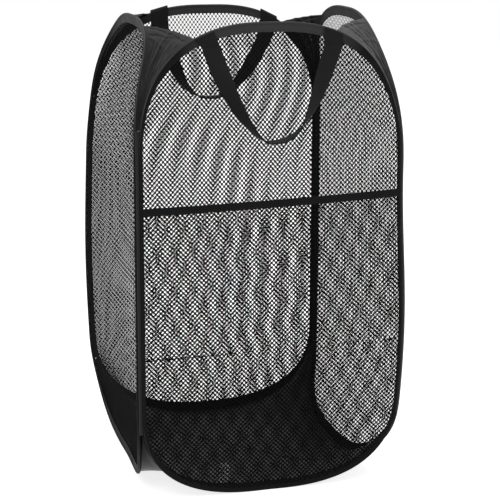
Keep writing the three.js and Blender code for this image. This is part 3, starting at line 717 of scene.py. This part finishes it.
def set_shader(tree, inputs):
    """Feeds the sockets of a material's shader."""
    for name, value in inputs.items():
        feed(tree, tree.nodes["Principled BSDF"].inputs[name], value)


def cloth_material(
    name, colour, faded, roughness, pitches, bump, gloss, sheen=0.0, patch_scale=30.0, worn=None,
):
    """A woven cloth: dye that drifts, threads that cross on the piece's own UV map, and a soft sheen.
    Where the piece carries painted light, a painted highlight and painted top light, it takes its painted
    highlight colour."""
    tree = new_material(name)
    dye = group_node(tree, "Cloth Dye", {
        "Colour": (*colour, 1), "Faded Colour": (*faded, 1), "Patch Scale": patch_scale,
    })
    base = dye["Colour"]
    if worn:
        # Painted light: mixes in the paler colour where the mask paints a highlight along the tape's fold and
        # top light over its crown
        rubbed = node(tree, "Attribute", {}, attribute_name="rubbed")["Fac"]
        base = node(tree, "Mix", {"Factor": rubbed, "A": base, "B": (*worn, 1)}, data_type="RGBA")["Result"]
    weave = group_node(tree, "Cloth Weave", {
        "Vector": node(tree, "TexCoord", {})["UV"],
        "Along Pitch": pitches[0] * MM, "Across Pitch": pitches[1] * MM,
    })
    height = {"Strength": 0.7, "Distance": bump * MM, "Height": weave["Height"]}
    rough = {"Value": dye["Patches"], "To Min": roughness[0], "To Max": roughness[1]}
    set_shader(tree, {
        "Base Color": base, "Roughness": node(tree, "MapRange", rough)["Result"],
        "Specular IOR Level": gloss, "Sheen Weight": sheen, "Sheen Roughness": 0.4,
        "Normal": node(tree, "Bump", height)["Normal"],
    })


def steel_material(name, colour, roughness):
    """Cold rolled steel with fine marks from the rollers."""
    tree = new_material(name)
    place = node(tree, "TexCoord", {})["Object"]
    noise = node(tree, "TexNoise", {"Vector": place, "Scale": 400, "Detail": 4})["Fac"]
    rough = {"Value": noise, "To Min": roughness, "To Max": roughness + 0.2}
    set_shader(tree, {
        "Base Color": (*colour, 1), "Metallic": 1, "Roughness": node(tree, "MapRange", rough)["Result"],
        "Normal": node(tree, "Bump", {"Distance": 0.02 * MM, "Height": noise})["Normal"],
    })


class HAMPER_OT_finishes(bpy.types.Operator):
    """Make the materials of every cloth, thread and steel part"""

    bl_idname = "hamper.finishes"
    bl_label = "Finishes"

    def execute(self, context):
        scene = context.scene
        weave_group()
        dye_group()
        tape = scene.hamper_tape
        # Name, colour, roughness, pitches of the weave, bump, gloss, sheen, patch scale and painted highlight
        # colour
        cloths = [
            ("Knitted Net", scene.hamper_net.colour, (0.8, 0.95), (0.4, 0.4), 0.03, 0.05),
            (
                "Binding Tape", tape.colour, (0.6, 0.8), (0.55, 0.45), 0.08, 0.1, 0.02, 60.0,
                tape.rubbed_colour,
            ),
            ("Black Nylon", scene.hamper_nylon.colour, (0.3, 0.42), (0.3, 0.3), 0.03, 0.12, 0.0, 25.0),
            ("Handle Webbing", scene.hamper_webbing.colour, (0.6, 0.75), (1.4, 0.8), 0.14, 0.15, 0.03, 50.0),
        ]
        for name, colour, *rest in cloths:
            cloth_material(name, colour, [1.5 * part for part in colour], *rest)
        thread = tape.thread_colour
        cloth_material(
            "Sewing Thread", thread, [1.6 * part for part in thread], (0.45, 0.6), (0.3, 0.3), 0.02, 0.2,
        )
        cloth_material(
            "Blank Satin", (0.82, 0.81, 0.79), (0.88, 0.87, 0.85), (0.4, 0.5), (0.25, 0.25), 0.03, 0.4, 0.2,
        )
        steel_material("Spring Steel", (0.42, 0.44, 0.47), 0.25)
        steel_material("Plated Steel", (0.62, 0.63, 0.64), 0.2)
        return {"FINISHED"}


class HAMPER_OT_side_nets(bpy.types.Operator):
    """Stretch a fine diamond net across each hoop"""

    bl_idname = "hamper.side_nets"
    bl_label = "Side Nets"

    def execute(self, context):
        settings = context.scene.hamper_net
        cells = (settings.front_cell, settings.side_cell, settings.back_cell, settings.side_cell)
        cords = (settings.front_cord, settings.back_cord, settings.back_cord, settings.left_cord)
        for side, cell, cord in zip(SIDES, cells, cords):
            piece = flat_net(side.name + "_fine_net", cell, cord, settings, HEIGHT)
            mesh = piece.data
            area = flat_area(mesh)
            x, z, depth = columns(mesh, "vertices", "co", 3).T
            mesh.vertices.foreach_set("co", side.place(x, z, TAPE_MIDDLE + depth).ravel())
            mesh.shade_smooth()
            dress(piece, "Knitted Net", side.body)
            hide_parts(side.name + "_net")
        return {"FINISHED"}


class HAMPER_OT_tapes(bpy.types.Operator):
    """Fold binding tape over each hoop and sew it down on both faces"""

    bl_idname = "hamper.tapes"
    bl_label = "Binding Tapes"

    def execute(self, context):
        settings = context.scene.hamper_tape
        outline = hoop_outline(TAPE_STATION)
        run = outline[:, 4]
        width = np.linalg.norm(outline[:, 2:4], axis=1)
        inward = unit(outline[:, 2:4])
        for index, side in enumerate(SIDES):
            pucker = settings.pucker * ripple(run, 193, index)
            edge = width + 1.5 * settings.pucker * ripple(run, 127, 2.0 * index)
            depth, breadth = self.section(edge, pucker)
            at = outline[:, None, :2] + depth[..., None] * inward[:, None]
            points = side.place(at[..., 0], at[..., 1], TAPE_MIDDLE + breadth)
            across = run_along(points[len(run) // 4])
            # Painted light mask: a painted highlight along the fold and painted top light over the crown
            rubbed = self.rubbed(outline[:, 0], outline[:, 1], len(across), index)
            tape = grid_piece(side.name + "_tape", points, run, across, rubbed, closed=True)
            thicken(tape, TAPE_THICKNESS)
            dress(tape, "Binding Tape", side.body)
            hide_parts(side.name + "_sleeve")
            stitch_depth = STRIP_DEPTH + (edge - STRIP_DEPTH) * STITCH_SHARE
            path = outline[:, :2] + stitch_depth[:, None] * inward
            leg = LEG_SECTION[STITCH_LEG][1] * MM + TAPE_THICKNESS / 2
            rows = sewn_rows(side, path, TAPE_MIDDLE, leg, settings)
            stitches(side.name + "_tape_stitches", rows, settings, side.body)
        return {"FINISHED"}

    def section(self, width, pucker):
        """Depths and breadths of the folded tape at each station, from one free edge round to the other."""
        share, breadth = np.array(LEG_SECTION[::-1]).T
        bulb = np.array(STRIP_SECTION[::-1]) * MM
        bulbs = np.tile(bulb, (len(width), 1, 1))
        depth = np.hstack((STRIP_DEPTH + np.outer(width - STRIP_DEPTH, share), bulbs[..., 0]))
        breadth = np.hstack((breadth * MM + pucker[:, None], bulbs[..., 1]))
        return np.hstack((depth, depth[:, -2::-1])), np.hstack((breadth, -breadth[:, -2::-1]))

    def rubbed(self, x, z, count, index):
        """Painted light on the tape, from 0 to 1: a painted highlight along its fold, and painted top light all
        over the crown.
        """
        top = ramp(z, TOP_SPRING, HEIGHT)
        foot = ramp(z, BOTTOM_ARC_HEIGHT, 0)
        crown = np.clip((z - HEIGHT + PAINTED_LIGHT_START) / PAINTED_LIGHT_REACH, 0, 1)
        from_fold = np.abs(np.arange(count) - (count - 1) / 2)
        fold = np.clip(1.5 - from_fold / 2, 0, 1)
        patches = 0.75 + 0.25 * np.sin(90 * x + 3 * index) * np.sin(70 * z)
        along = patches * (0.9 * np.minimum(2 * top, 1) + 0.45 * np.minimum(2 * foot, 1))
        return np.maximum(along[:, None] * fold, 0.42 * crown[:, None])


class HAMPER_OT_corner_seams(bpy.types.Operator):
    """Whip the upright edges of neighbouring hoops together"""

    bl_idname = "hamper.corner_seams"
    bl_label = "Corner Seams"

    def execute(self, context):
        turn = np.linspace(0, 2 * math.pi, 13)
        for name, west, _, east, _, bodies in CORNERS:
            low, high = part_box(name + "_seam")
            run = np.linspace(low.z, high.z, WHIPPING_STATIONS)
            start = west.place(-half_width(run), run, TAPE_MIDDLE)
            end = east.place(half_width(run), run, TAPE_MIDDLE)
            half = (end - start)[:, None] / 2
            face = WHIPPING_RADIUS * unit(np.cross((0, 0, 1), half))
            lap = np.abs(np.sin(math.pi * run[:, None] / WHIPPING_PITCH + turn / 2))[..., None]
            ring = half * np.cos(turn)[:, None] + face * np.sin(turn)[:, None]
            points = (start + end)[:, None] / 2 + ring * (1 - WHIPPING_DIP + WHIPPING_DIP * lap)
            points[:, -1] = points[:, 0]
            seam = grid_piece(name + "_whipping", points, run, turn * WHIPPING_RADIUS, tube=True)
            dress(seam, "Sewing Thread")
            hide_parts(name + "_seam")
            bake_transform(seam)
        return {"FINISHED"}


class HAMPER_OT_gussets(bpy.types.Operator):
    """Stretch a creased nylon gusset across each top corner"""

    bl_idname = "hamper.gussets"
    bl_label = "Corner Gussets"

    def execute(self, context):
        settings = context.scene.hamper_nylon
        climb, share = (np.linspace(0, 1, count) for count in GUSSET_GRID)
        for index, (name, west, west_hem, east, east_hem, bodies) in enumerate(CORNERS):
            west_x, west_z = self.arc(west_hem, len(climb))
            east_x, east_z = self.arc(east_hem, len(climb))
            start = west.place(-west_x, west_z, TAPE_MIDDLE)
            end = east.place(east_x, east_z, TAPE_MIDDLE)
            flat = start[:, None] + (end - start)[:, None] * share[None, :, None]
            inward = unit(-(start[-1] + end[-1]) * (1, 1, 0))
            fold = self.folds(share, climb[:, None], index) * settings.crease
            points = flat + inward * fold[..., None]
            points[..., 2] += 0.35 * fold
            run = run_along((start + end) / 2)
            across = share * np.linalg.norm(end - start, axis=1).max()
            gusset = grid_piece(name + "_creased_gusset", points, run, across)
            thicken(gusset, settings.thickness)
            dress(gusset, "Black Nylon")
            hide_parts(name + "_gusset")
            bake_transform(gusset)
        return {"FINISHED"}

    def arc(self, hem, count):
        """A top arc's outer edge from a gusset's foot to its hem's reach, as x and heights."""
        outline = hoop_outline(FINE_STATION)
        east = outline[(outline[:, 0] >= hem) & (outline[:, 1] > SEAM_HEAD)]
        run = east[:, 4] - east[0, 4]
        return read_at(np.linspace(0, run[-1], count), run, east[:, :2]).T

    def folds(self, share, climb, index):
        """Height of the creases, about -1 to 1: a sag, folds drawn tight between the rims, and crumples."""
        sag = 1.6 * climb * 4 * share * (1 - share)
        held = np.minimum(1, 8 * share) * np.minimum(1, 8 * (1 - share))
        folds = 0
        for creases, wander, up, across in (
            (GUSSET_CREASES, 0.02, climb, share), (SEAM_CREASES, 0.03, share, climb),
        ):
            for k, (place, lean, width, depth) in enumerate(creases):
                middle = place + lean * (across - 0.5) + wander * math.sin(3 * index + k)
                folds = folds + depth * np.exp(-(((up - middle) / width) ** 2))
        crumple = np.sin(23 * share + 9 * climb + index) * np.sin(17 * climb - 6 * share + 2 * index)
        crumple = crumple + 0.6 * np.sin(41 * share - 21 * climb) * np.sin(33 * climb + 13 * share + index)
        return sag + held * climb ** 0.5 * (folds + 0.2 * crumple)


class HAMPER_OT_base(bpy.types.Operator):
    """Lay the base cloth on the ground and draw its corners up between the hoops"""

    bl_idname = "hamper.base"
    bl_label = "Base Cloth"

    def execute(self, context):
        settings = context.scene.hamper_nylon
        grid = self.settle()
        half = BASE_CELLS // 2
        share = np.arange(BASE_CELLS + 1) / BASE_CELLS
        joints = ("left_fold", "right_fold", "back_fold", "left_fold")
        for turn, (side, joint) in enumerate(zip(SIDES, joints)):
            turned = np.rot90(grid, turn, axes=(0, 1))
            points = np.array([
                turned[row, row + np.rint(share * (BASE_CELLS - 2 * row)).astype(int)]
                for row in range(half + 1)
            ])
            self.quarter(side, joint, points, settings)
        return {"FINISHED"}

    def settle(self):
        """The whole cloth's rows of points, front first, hung by its edges and settled on the ground."""
        share = np.linspace(-1, 1, BASE_CELLS + 1)
        outline = hoop_outline(FINE_STATION)
        foot = outline[(outline[:, 1] <= SEAM_FOOT) & (outline[:, 0] >= 0)]
        foot = foot[np.argsort(foot[:, 0])]
        x, z, step_x, step_z = read_at(np.abs(share), np.linspace(0, 1, len(foot)), foot[:, :4]).T
        inward = unit(np.column_stack((step_x, step_z)))
        x = np.sign(share) * (x + BASE_INSET * inward[:, 0])
        front, right, back, left = (side.place(x, z + BASE_INSET * inward[:, 1], BASE_OUT) for side in SIDES)
        grid = np.zeros((len(share), len(share), 3))
        grid[..., 0] = HINGE * share[None, :]
        grid[..., 1] = HINGE * share[:, None]
        grid[0] = front
        grid[-1] = back[::-1]
        grid[:, -1] = right
        grid[:, 0] = left[::-1]
        reach = HINGE - BASE_CORNER_INSET
        for row, north in ((0, -1), (-1, 1)):
            for column, east in ((0, -1), (-1, 1)):
                grid[row, column] = out_of_square((east * reach, north * reach, front[-1, 2]))
        load = BASE_DROP * (BASE_DROP_CELLS / BASE_CELLS) ** 2
        for _ in range(BASE_PASSES):
            inner = (grid[:-2, 1:-1] + grid[2:, 1:-1] + grid[1:-1, :-2] + grid[1:-1, 2:]) / 4
            inner[..., 2] = np.maximum(inner[..., 2] - load, BASE_GROUND)
            grid[1:-1, 1:-1] = inner
        return grid

    def quarter(self, side, joint, points, settings):
        """One quarter of the cloth, which turns with its side."""
        run = np.linspace(0, HINGE, points.shape[0])
        across = np.linspace(0, 2 * HINGE, points.shape[1])
        piece = grid_piece(side.name + "_base_quarter", points, run, across)
        with edit_mode("SELECT"):
            merge_doubles()
            bpy.ops.mesh.dissolve_degenerate(threshold=0.01 * MM)
        thicken(piece, settings.thickness)
        dress(piece, "Black Nylon", side.body)
        middle = side.place(0, 0, 0) * (1, 1, 0)
        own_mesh(piece)
        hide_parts("base_panel")


class HAMPER_OT_pocket(bpy.types.Operator):
    """Sew the pocket's net and its top band over the lower front"""

    bl_idname = "hamper.pocket"
    bl_label = "Front Pocket"

    def execute(self, context):
        scene = context.scene
        settings = scene.hamper_net
        net = flat_net(
            "pocket_fine_net", settings.pocket_cell, settings.pocket_cord, settings, POCKET_TOP - MM,
        )
        area = flat_area(net.data)
        x, z, depth = columns(net.data, "vertices", "co", 3).T
        loose = smooth(np.clip((1 - hoop_level(x, z)) * HALF_HOOP / POCKET_TUCK, 0, 1))
        face = POCKET_FACE + BAND_STANDOFF * z / POCKET_TOP + self.bulge(x, z)
        out = TAPE_MIDDLE + POCKET_STANDOFF + loose * (face - TAPE_MIDDLE)
        lifted = np.where(z > POCKET_TOP / 2, z + POCKET_END_RISE * x / HALF_HOOP, z)
        net.data.vertices.foreach_set("co", FRONT.place(x, lifted, out + depth).ravel())
        net.data.shade_smooth()
        dress(net, "Knitted Net", "front_side")
        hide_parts("pocket_net")
        self.band(scene.hamper_tape)
        return {"FINISHED"}

    def bulge(self, x, z):
        """How far the pocket stands off the front."""
        across = 1 - (x / HALF_HOOP) ** 2
        return POCKET_BULGE * across * np.sin(math.pi / 2 * np.minimum(z / POCKET_TOP, 1))

    def band(self, settings):
        """Folds a tape over the net's top edge and sews it down."""
        reach = HALF_HOOP - BAND_INSET
        along = np.linspace(-reach, reach, BAND_STATIONS)
        run = along + reach
        section = np.array(BAND_SECTION) * MM
        section = np.vstack((section, section[-2::-1] * (1, -1)))
        wave = settings.pucker * ripple(run, 44)
        middle = POCKET_FACE + BAND_STANDOFF + BAND_LIFT + self.bulge(along, POCKET_TOP)
        top = POCKET_TOP + POCKET_END_RISE * along / HALF_HOOP
        outs = middle[:, None] + section[:, 1] + wave[:, None] * (section[:, 0] < BAND_SECTION[4][0] * MM)
        points = FRONT.place(along[:, None], top[:, None] + section[:, 0], outs)
        across = run_along(section)
        band = grid_piece("pocket_top_band", points[:, ::-1], run, across)
        thicken(band, TAPE_THICKNESS)
        dress(band, "Binding Tape", "front_side")
        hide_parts("pocket_band")
        depth, breadth = section[STITCH_LEG]
        path = np.column_stack((along, top + depth))
        rows = sewn_rows(FRONT, path, middle, breadth + TAPE_THICKNESS / 2, settings)
        stitches("pocket_band_stitches", rows, settings, "front_side")


class HAMPER_OT_handles(bpy.types.Operator):
    """Sew both webbing handles to their rims and let their loops hang"""

    bl_idname = "hamper.handles"
    bl_label = "Handles"

    def execute(self, context):
        self.front()
        self.back()
        return {"FINISHED"}

    def strap(self, name, west, loop, east):
        """A webbing strap swept through its west end, its loop and its east end, with cross ribs.
        Each part has a middle line, steps from it to the strap's edge, and unit steps off its face."""
        settings = bpy.context.scene.hamper_webbing
        east = (east[0][::-1], -east[1][::-1], east[2][::-1])
        path = np.hstack([np.vstack(parts) for parts in zip(west, loop, east)])
        run = run_along(path[:, :3])
        places = np.linspace(0, run[-1], round(run[-1] / (settings.rib_pitch / 5)) + 1)
        centre, broad, thin = np.hsplit(read_at(places, run, path), 3)
        flat = np.linspace(-0.965, 0.965, 11)
        half = np.array([(*flat, 0.99, 1, 0.99), (*np.ones(len(flat)), 0.7, 0, -0.7)])
        share, face = np.hstack((half, -half, half[:, :1]))
        rib = settings.rib_depth * (np.abs(np.sin(math.pi * places / settings.rib_pitch)) - 1)
        height = face * STRAP_THICKNESS / 2 + np.where(np.abs(face) == 1, face, 0) * rib[:, None]
        points = centre[:, None] + broad[:, None] * share[:, None] + unit(thin)[:, None] * height[..., None]
        piece = grid_piece(name, points, places, run_along(points[0]), tube=True)
        face_outwards()
        dress(piece, "Handle Webbing")
        return piece

    def loop(self, side, strap, face, towards):
        """Middle line, half breadths and face steps of a hanging loop, from its west end to its east end."""
        half_span = (strap["east"] - strap["west"]) / 2
        share = np.linspace(-1, 1, LOOP_STATIONS)
        curve, turning = (np.where(share > 0, *strap[key][::-1]) for key in ("curves", "twists"))
        fall = 1 - np.abs(share) ** curve
        quarter = math.pi / 2 * fall ** turning
        twist = np.where(share > 0, math.pi - quarter, quarter)
        lean = STRAP_HALF_WIDTH * np.sin(twist) + STRAP_THICKNESS / 2
        drop = strap["drop"] - STRAP_THICKNESS / 2
        height = strap["flex"] - drop * fall
        x = (strap["east"] + strap["west"]) / 2 + half_span * share + strap["sway"] * (1 - share ** 2)
        y = -HINGE + side.bow(strap["reach"], height) - face - towards * lean
        broad = np.column_stack((np.cos(twist), -towards * np.sin(twist), 0 * twist))
        slope = np.sign(share) * drop * curve * np.abs(share) ** (curve - 1)
        along = np.column_stack((half_span - 2 * strap["sway"] * share, 0 * share, slope))
        return np.column_stack((x, y, height)), broad * STRAP_HALF_WIDTH, unit(np.cross(along, broad))

    def front(self):
        """The outer handle, whose ends lie flat on the front rim."""
        flex = FRONT_STRAP["flex"]
        climb = np.linspace(1, 0, TAB_STEPS + 1)[:-1, None]
        tabs = ((FRONT_STRAP["west"], FRONT_TAB_LEAN), (FRONT_STRAP["east"], 0))
        ends = []
        for middle, lean in tabs:
            x = middle - lean * climb + np.array((-1, 1)) * STRAP_HALF_WIDTH
            z = flex + climb * (arc_height(x) - TAB_TOP_INSET - flex)
            edges = FRONT.place(x, z, POCKET_FACE + STRAP_THICKNESS / 2)
            step = np.tile((0.0, -1.0, 0.0), (len(climb), 1))
            ends.append((edges.mean(axis=1), (edges[:, 1] - edges[:, 0]) / 2, step))
        centre, broad, thin = self.loop(FRONT, FRONT_STRAP, POCKET_FACE, 1)
        piece = self.strap("front_handle_strap", ends[0], (out_of_square(centre), broad, thin), ends[1])
        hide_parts("front_handle_left_tab", "front_handle_right_tab", "front_handle_loop")
        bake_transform(piece)
        for middle, lean in tabs:
            self.box_stitch(FRONT, middle, lean, flex)

    def back(self):
        """The inner handle, whose ends are folded over the back rim."""
        flex = BACK_STRAP["flex"]
        inner = BACK_FACE - STRAP_THICKNESS / 2
        outer = POCKET_FACE + STRAP_THICKNESS / 2
        radius = (outer - inner) / 2
        turn = np.linspace(0, math.pi, SADDLE_STEPS)
        legs = np.linspace(0, 1, TAB_STEPS)[:-1]
        full, none = np.ones(len(legs)), np.zeros(len(legs))
        climb = np.concatenate((legs, np.ones(SADDLE_STEPS), legs[::-1]))[:, None]
        facing = np.concatenate((full, np.cos(turn), -full))
        over = np.concatenate((none, np.sin(turn), none))
        out = np.concatenate((outer * full, (inner + outer) / 2 + radius * np.cos(turn), inner * full))
        off = np.column_stack((0 * over, -facing, -over))
        tabs = (BACK_STRAP["west"], BACK_STRAP["east"])
        ends = []
        for middle in tabs:
            near = middle - math.copysign(STRAP_HALF_WIDTH, middle)
            top = arc_height(near) + SADDLE_RISE - radius + STRAP_THICKNESS / 2
            x = middle + np.array((-1, 1)) * STRAP_HALF_WIDTH
            tilt = climb * (arc_height(x) - arc_height(near))
            z = flex + climb * (top - flex) + radius * over[:, None] + tilt
            edges = BACK.place(x, z, out[:, None])
            ends.append((edges.mean(axis=1), (edges[:, 1] - edges[:, 0]) / 2, off))
        centre, broad, thin = (part * (-1, -1, 1) for part in self.loop(BACK, BACK_STRAP, BACK_FACE, -1))
        piece = self.strap("back_handle_strap", ends[0], (out_of_square(centre), broad, thin), ends[1])
        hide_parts("back_handle_left_tab", "back_handle_right_tab", "back_handle_loop")
        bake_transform(piece)
        for middle in tabs:
            self.box_stitch(BACK, middle, 0, flex)

    def box_stitch(self, side, middle, lean, flex):
        """Sews a strap's end down with a crossed box of stitches."""
        settings = bpy.context.scene.hamper_tape
        half = STRAP_HALF_WIDTH - BOX_INSET
        foot = flex + BOX_INSET
        corners = []
        for x, climb in ((-half, 0), (half, 0), (half, 1), (-half, 1)):
            at = middle + x - lean * climb
            corners.append((at, foot + climb * (arc_height(at) - BOX_TOP_INSET - foot)))
        out = POCKET_FACE + STRAP_THICKNESS + settings.stitch_width / 4
        rows = []
        for stops in ((0, 1, 2, 3, 0, 2), (1, 3)):
            rows += sewn_rows(side, np.array([corners[k] for k in stops]), 0, out, settings, (1,))
        end = "west" if middle < 0 else "east"
        stitches(side.name + "_" + end + "_box_stitches", rows, settings, side.body)


class HAMPER_OT_tag(bpy.types.Operator):
    """Sew the blank tag inside the foot of the front"""

    bl_idname = "hamper.tag"
    bl_label = "Blank Tag"

    def execute(self, context):
        low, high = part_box("blank_tag")
        rise, share = np.linspace(0, 1, 31), np.linspace(0, 1, 15)
        width, height = high.x - low.x, high.z - low.z
        curl = TAG_CURL * rise[:, None] ** 2 * (1 - 0.5 * np.cos(2.6 * (share - 0.4)))
        z = low.z + height * rise[:, None]
        points = FRONT.place(low.x + width * share, z, BACK_FACE - TAG_GAP - curl)
        tag = grid_piece("blank_woven_tag", points, rise * height, share * width)
        thicken(tag, TAG_THICKNESS)
        dress(tag, "Blank Satin", "front_side")
        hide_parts("blank_tag")
        return {"FINISHED"}


class HAMPER_OT_springs(bpy.types.Operator):
    """Lay a steel strip inside each tape and crimp its ends together"""

    bl_idname = "hamper.springs"
    bl_label = "Spring Strips"

    def execute(self, context):
        outline = hoop_outline(TAPE_STATION)
        rise = np.linspace(-0.5, 0.5, SPLICE_STATIONS)
        up = SPLICE_HEIGHT + rise * SPLICE_LENGTH
        splice = np.column_stack((np.full(len(up), HALF_HOOP), up))
        straight = np.tile((-1.0, 0.0), (len(up), 1))
        crimp = 1 - CRIMP_SHARE * np.cos(3 * math.pi * rise) ** 8
        for side in SIDES:
            strip = self.sweep(
                side, "_steel_strip", outline[:, :2], unit(outline[:, 2:4]), outline[:, 4], STRIP_HALVES,
                np.ones(len(outline)), closed=True,
            )
            dress(strip, "Spring Steel", side.body)
            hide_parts(side.name + "_spring_strip")
            tube = self.sweep(
                side, "_crimped_splice", splice, straight, up - up[0], SPLICE_HALVES, crimp, tube=True,
            )
            dress(tube, "Plated Steel", side.body)
            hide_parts(side.name + "_strip_splice")
        return {"FINISHED"}

    def sweep(self, side, name, path, inward, run, halves, crimp, **ends):
        """Sweeps a flat section with broken edges along a path on the hoop's own face."""
        deep, broad = (1 - STRIP_EDGE / half for half in halves)
        corners = [(1, broad), (deep, 1), (-deep, 1), (-1, broad)]
        section = np.array(corners + [(-a, -b) for a, b in corners] + corners[:1]) * halves
        depth = STRIP_MIDDLE + np.outer(crimp, section[:, 0])
        x, z = np.moveaxis(path[:, None] + depth[..., None] * inward[:, None], -1, 0)
        points = side.place(x, z, TAPE_MIDDLE + section[:, 1])
        piece = grid_piece(side.name + name, points, run, run_along(section), **ends)
        face_outwards()
        return piece


class HAMPER_OT_stage(bpy.types.Operator):
    """Set up the white floor, the soft lights and the camera"""

    bl_idname = "hamper.stage"
    bl_label = "Stage"

    def execute(self, context):
        settings = context.scene.hamper_stage
        self.camera(context.scene, settings)
        self.world(context.scene, settings)
        self.floor()
        self.lamp("Key Light", (-1.1, -1.5, 2.3), 1.4, settings.key_power)
        self.lamp("Fill Light", (1.8, -1.2, 1.5), 1.6, 0.2 * settings.key_power)
        self.lamp("Top Light", (0.2, 0.6, 2.6), 1.6, 0.6 * settings.key_power)
        context.scene.view_settings.view_transform = "Standard"
        return {"FINISHED"}

    def camera(self, scene, settings):
        """The camera that took the picture, from its fitted place, yaw, pitch and roll."""
        data = bpy.data.cameras.new("Camera")
        data.lens = settings.lens
        data.sensor_width = 36
        camera = bpy.data.objects.new("Camera", data)
        scene.collection.objects.link(camera)
        turn = Matrix.Rotation(-settings.camera_yaw, 4, "Z")
        turn = turn @ Matrix.Rotation(math.pi / 2 - settings.camera_pitch, 4, "X")
        turn = turn @ Matrix.Rotation(settings.camera_roll, 4, "Z")
        camera.matrix_world = Matrix.Translation(settings.camera_place) @ turn
        scene.camera = camera

    def world(self, scene, settings):
        """A world that lights softly and looks white."""
        world = bpy.data.worlds.new("Studio")
        scene.world = world
        world.use_nodes = True
        tree = world.node_tree
        light = tree.nodes["Background"]
        light.inputs["Color"].default_value = (1, 1, 1, 1)
        light.inputs["Strength"].default_value = settings.world_light
        seen = node(tree, "Background", {"Color": (1, 1, 1, 1)})
        self.mix_by_ray(tree, light.outputs[0], seen[0], tree.nodes["World Output"])

    def mix_by_ray(self, tree, lit, shown, output):
        """Shows one shader to the camera, gloss and glass, and the other to all other light."""
        ray = node(tree, "LightPath", {})
        either = math_node(tree, "MAXIMUM", ray["Is Camera Ray"], ray["Is Glossy Ray"])
        any_ray = math_node(tree, "MAXIMUM", either, ray["Is Transmission Ray"])
        mixed = node(tree, "MixShader", {"Fac": any_ray, 1: lit, 2: shown})
        feed(tree, output.inputs["Surface"], mixed[0])

    def floor(self):
        """A white floor that keeps the hamper's soft shadow."""
        floor = add(bpy.ops.mesh.primitive_plane_add, "studio_floor", size=12)
        tree = new_material("White Floor")
        set_shader(tree, {"Base Color": (0.8, 0.8, 0.8, 1), "Roughness": 0.9})
        lit = tree.nodes["Principled BSDF"].outputs[0]
        glow = node(tree, "Emission", {"Strength": 0.8})
        both = node(tree, "AddShader", {0: lit, 1: glow[0]})
        self.mix_by_ray(tree, lit, both[0], tree.nodes["Material Output"])
        floor.data.materials.append(bpy.data.materials["White Floor"])

    def lamp(self, name, place, size, power):
        """A large soft square lamp that faces the hamper."""
        data = bpy.data.lights.new(name, "AREA")
        data.size = size
        data.energy = power
        lamp = bpy.data.objects.new(name, data)
        bpy.context.scene.collection.objects.link(lamp)
        lamp.location = place
        aim = Vector((0, 0, HEIGHT / 2)) - lamp.location
        lamp.rotation_euler = aim.to_track_quat("-Z", "Y").to_euler()


STEPS = [
    "stage", "finishes", "tapes", "side_nets", "corner_seams", "gussets", "base",
    "pocket", "handles", "tag", "springs",
]


class HAMPER_PT_panel(bpy.types.Panel):
    """Lists the steps that dress the hamper"""

    bl_label = "Laundry Hamper"
    bl_idname = "HAMPER_PT_panel"
    bl_space_type = "VIEW_3D"
    bl_region_type = "UI"
    bl_category = "Hamper"

    def draw(self, context):
        for step in STEPS:
            self.layout.operator("hamper." + step)


GROUPS = {
    "hamper_net": HamperNetSettings,
    "hamper_tape": HamperTapeSettings,
    "hamper_nylon": HamperNylonSettings,
    "hamper_webbing": HamperWebbingSettings,
    "hamper_stage": HamperStageSettings,
}
CLASSES = [
    *GROUPS.values(), HAMPER_OT_stage, HAMPER_OT_finishes, HAMPER_OT_side_nets, HAMPER_OT_tapes,
    HAMPER_OT_corner_seams, HAMPER_OT_gussets, HAMPER_OT_base, HAMPER_OT_pocket, HAMPER_OT_handles,
    HAMPER_OT_tag, HAMPER_OT_springs, HAMPER_PT_panel,
]


def register():
    for cls in CLASSES:
        bpy.utils.register_class(cls)
    for name, group in GROUPS.items():
        setattr(bpy.types.Scene, name, bpy.props.PointerProperty(type=group))


def unregister():
    for name in GROUPS:
        delattr(bpy.types.Scene, name)
    for cls in reversed(CLASSES):
        bpy.utils.unregister_class(cls)


def main():
    register()
    for step in STEPS:
        getattr(bpy.ops.hamper, step)()


if __name__ == "__main__":
    main()
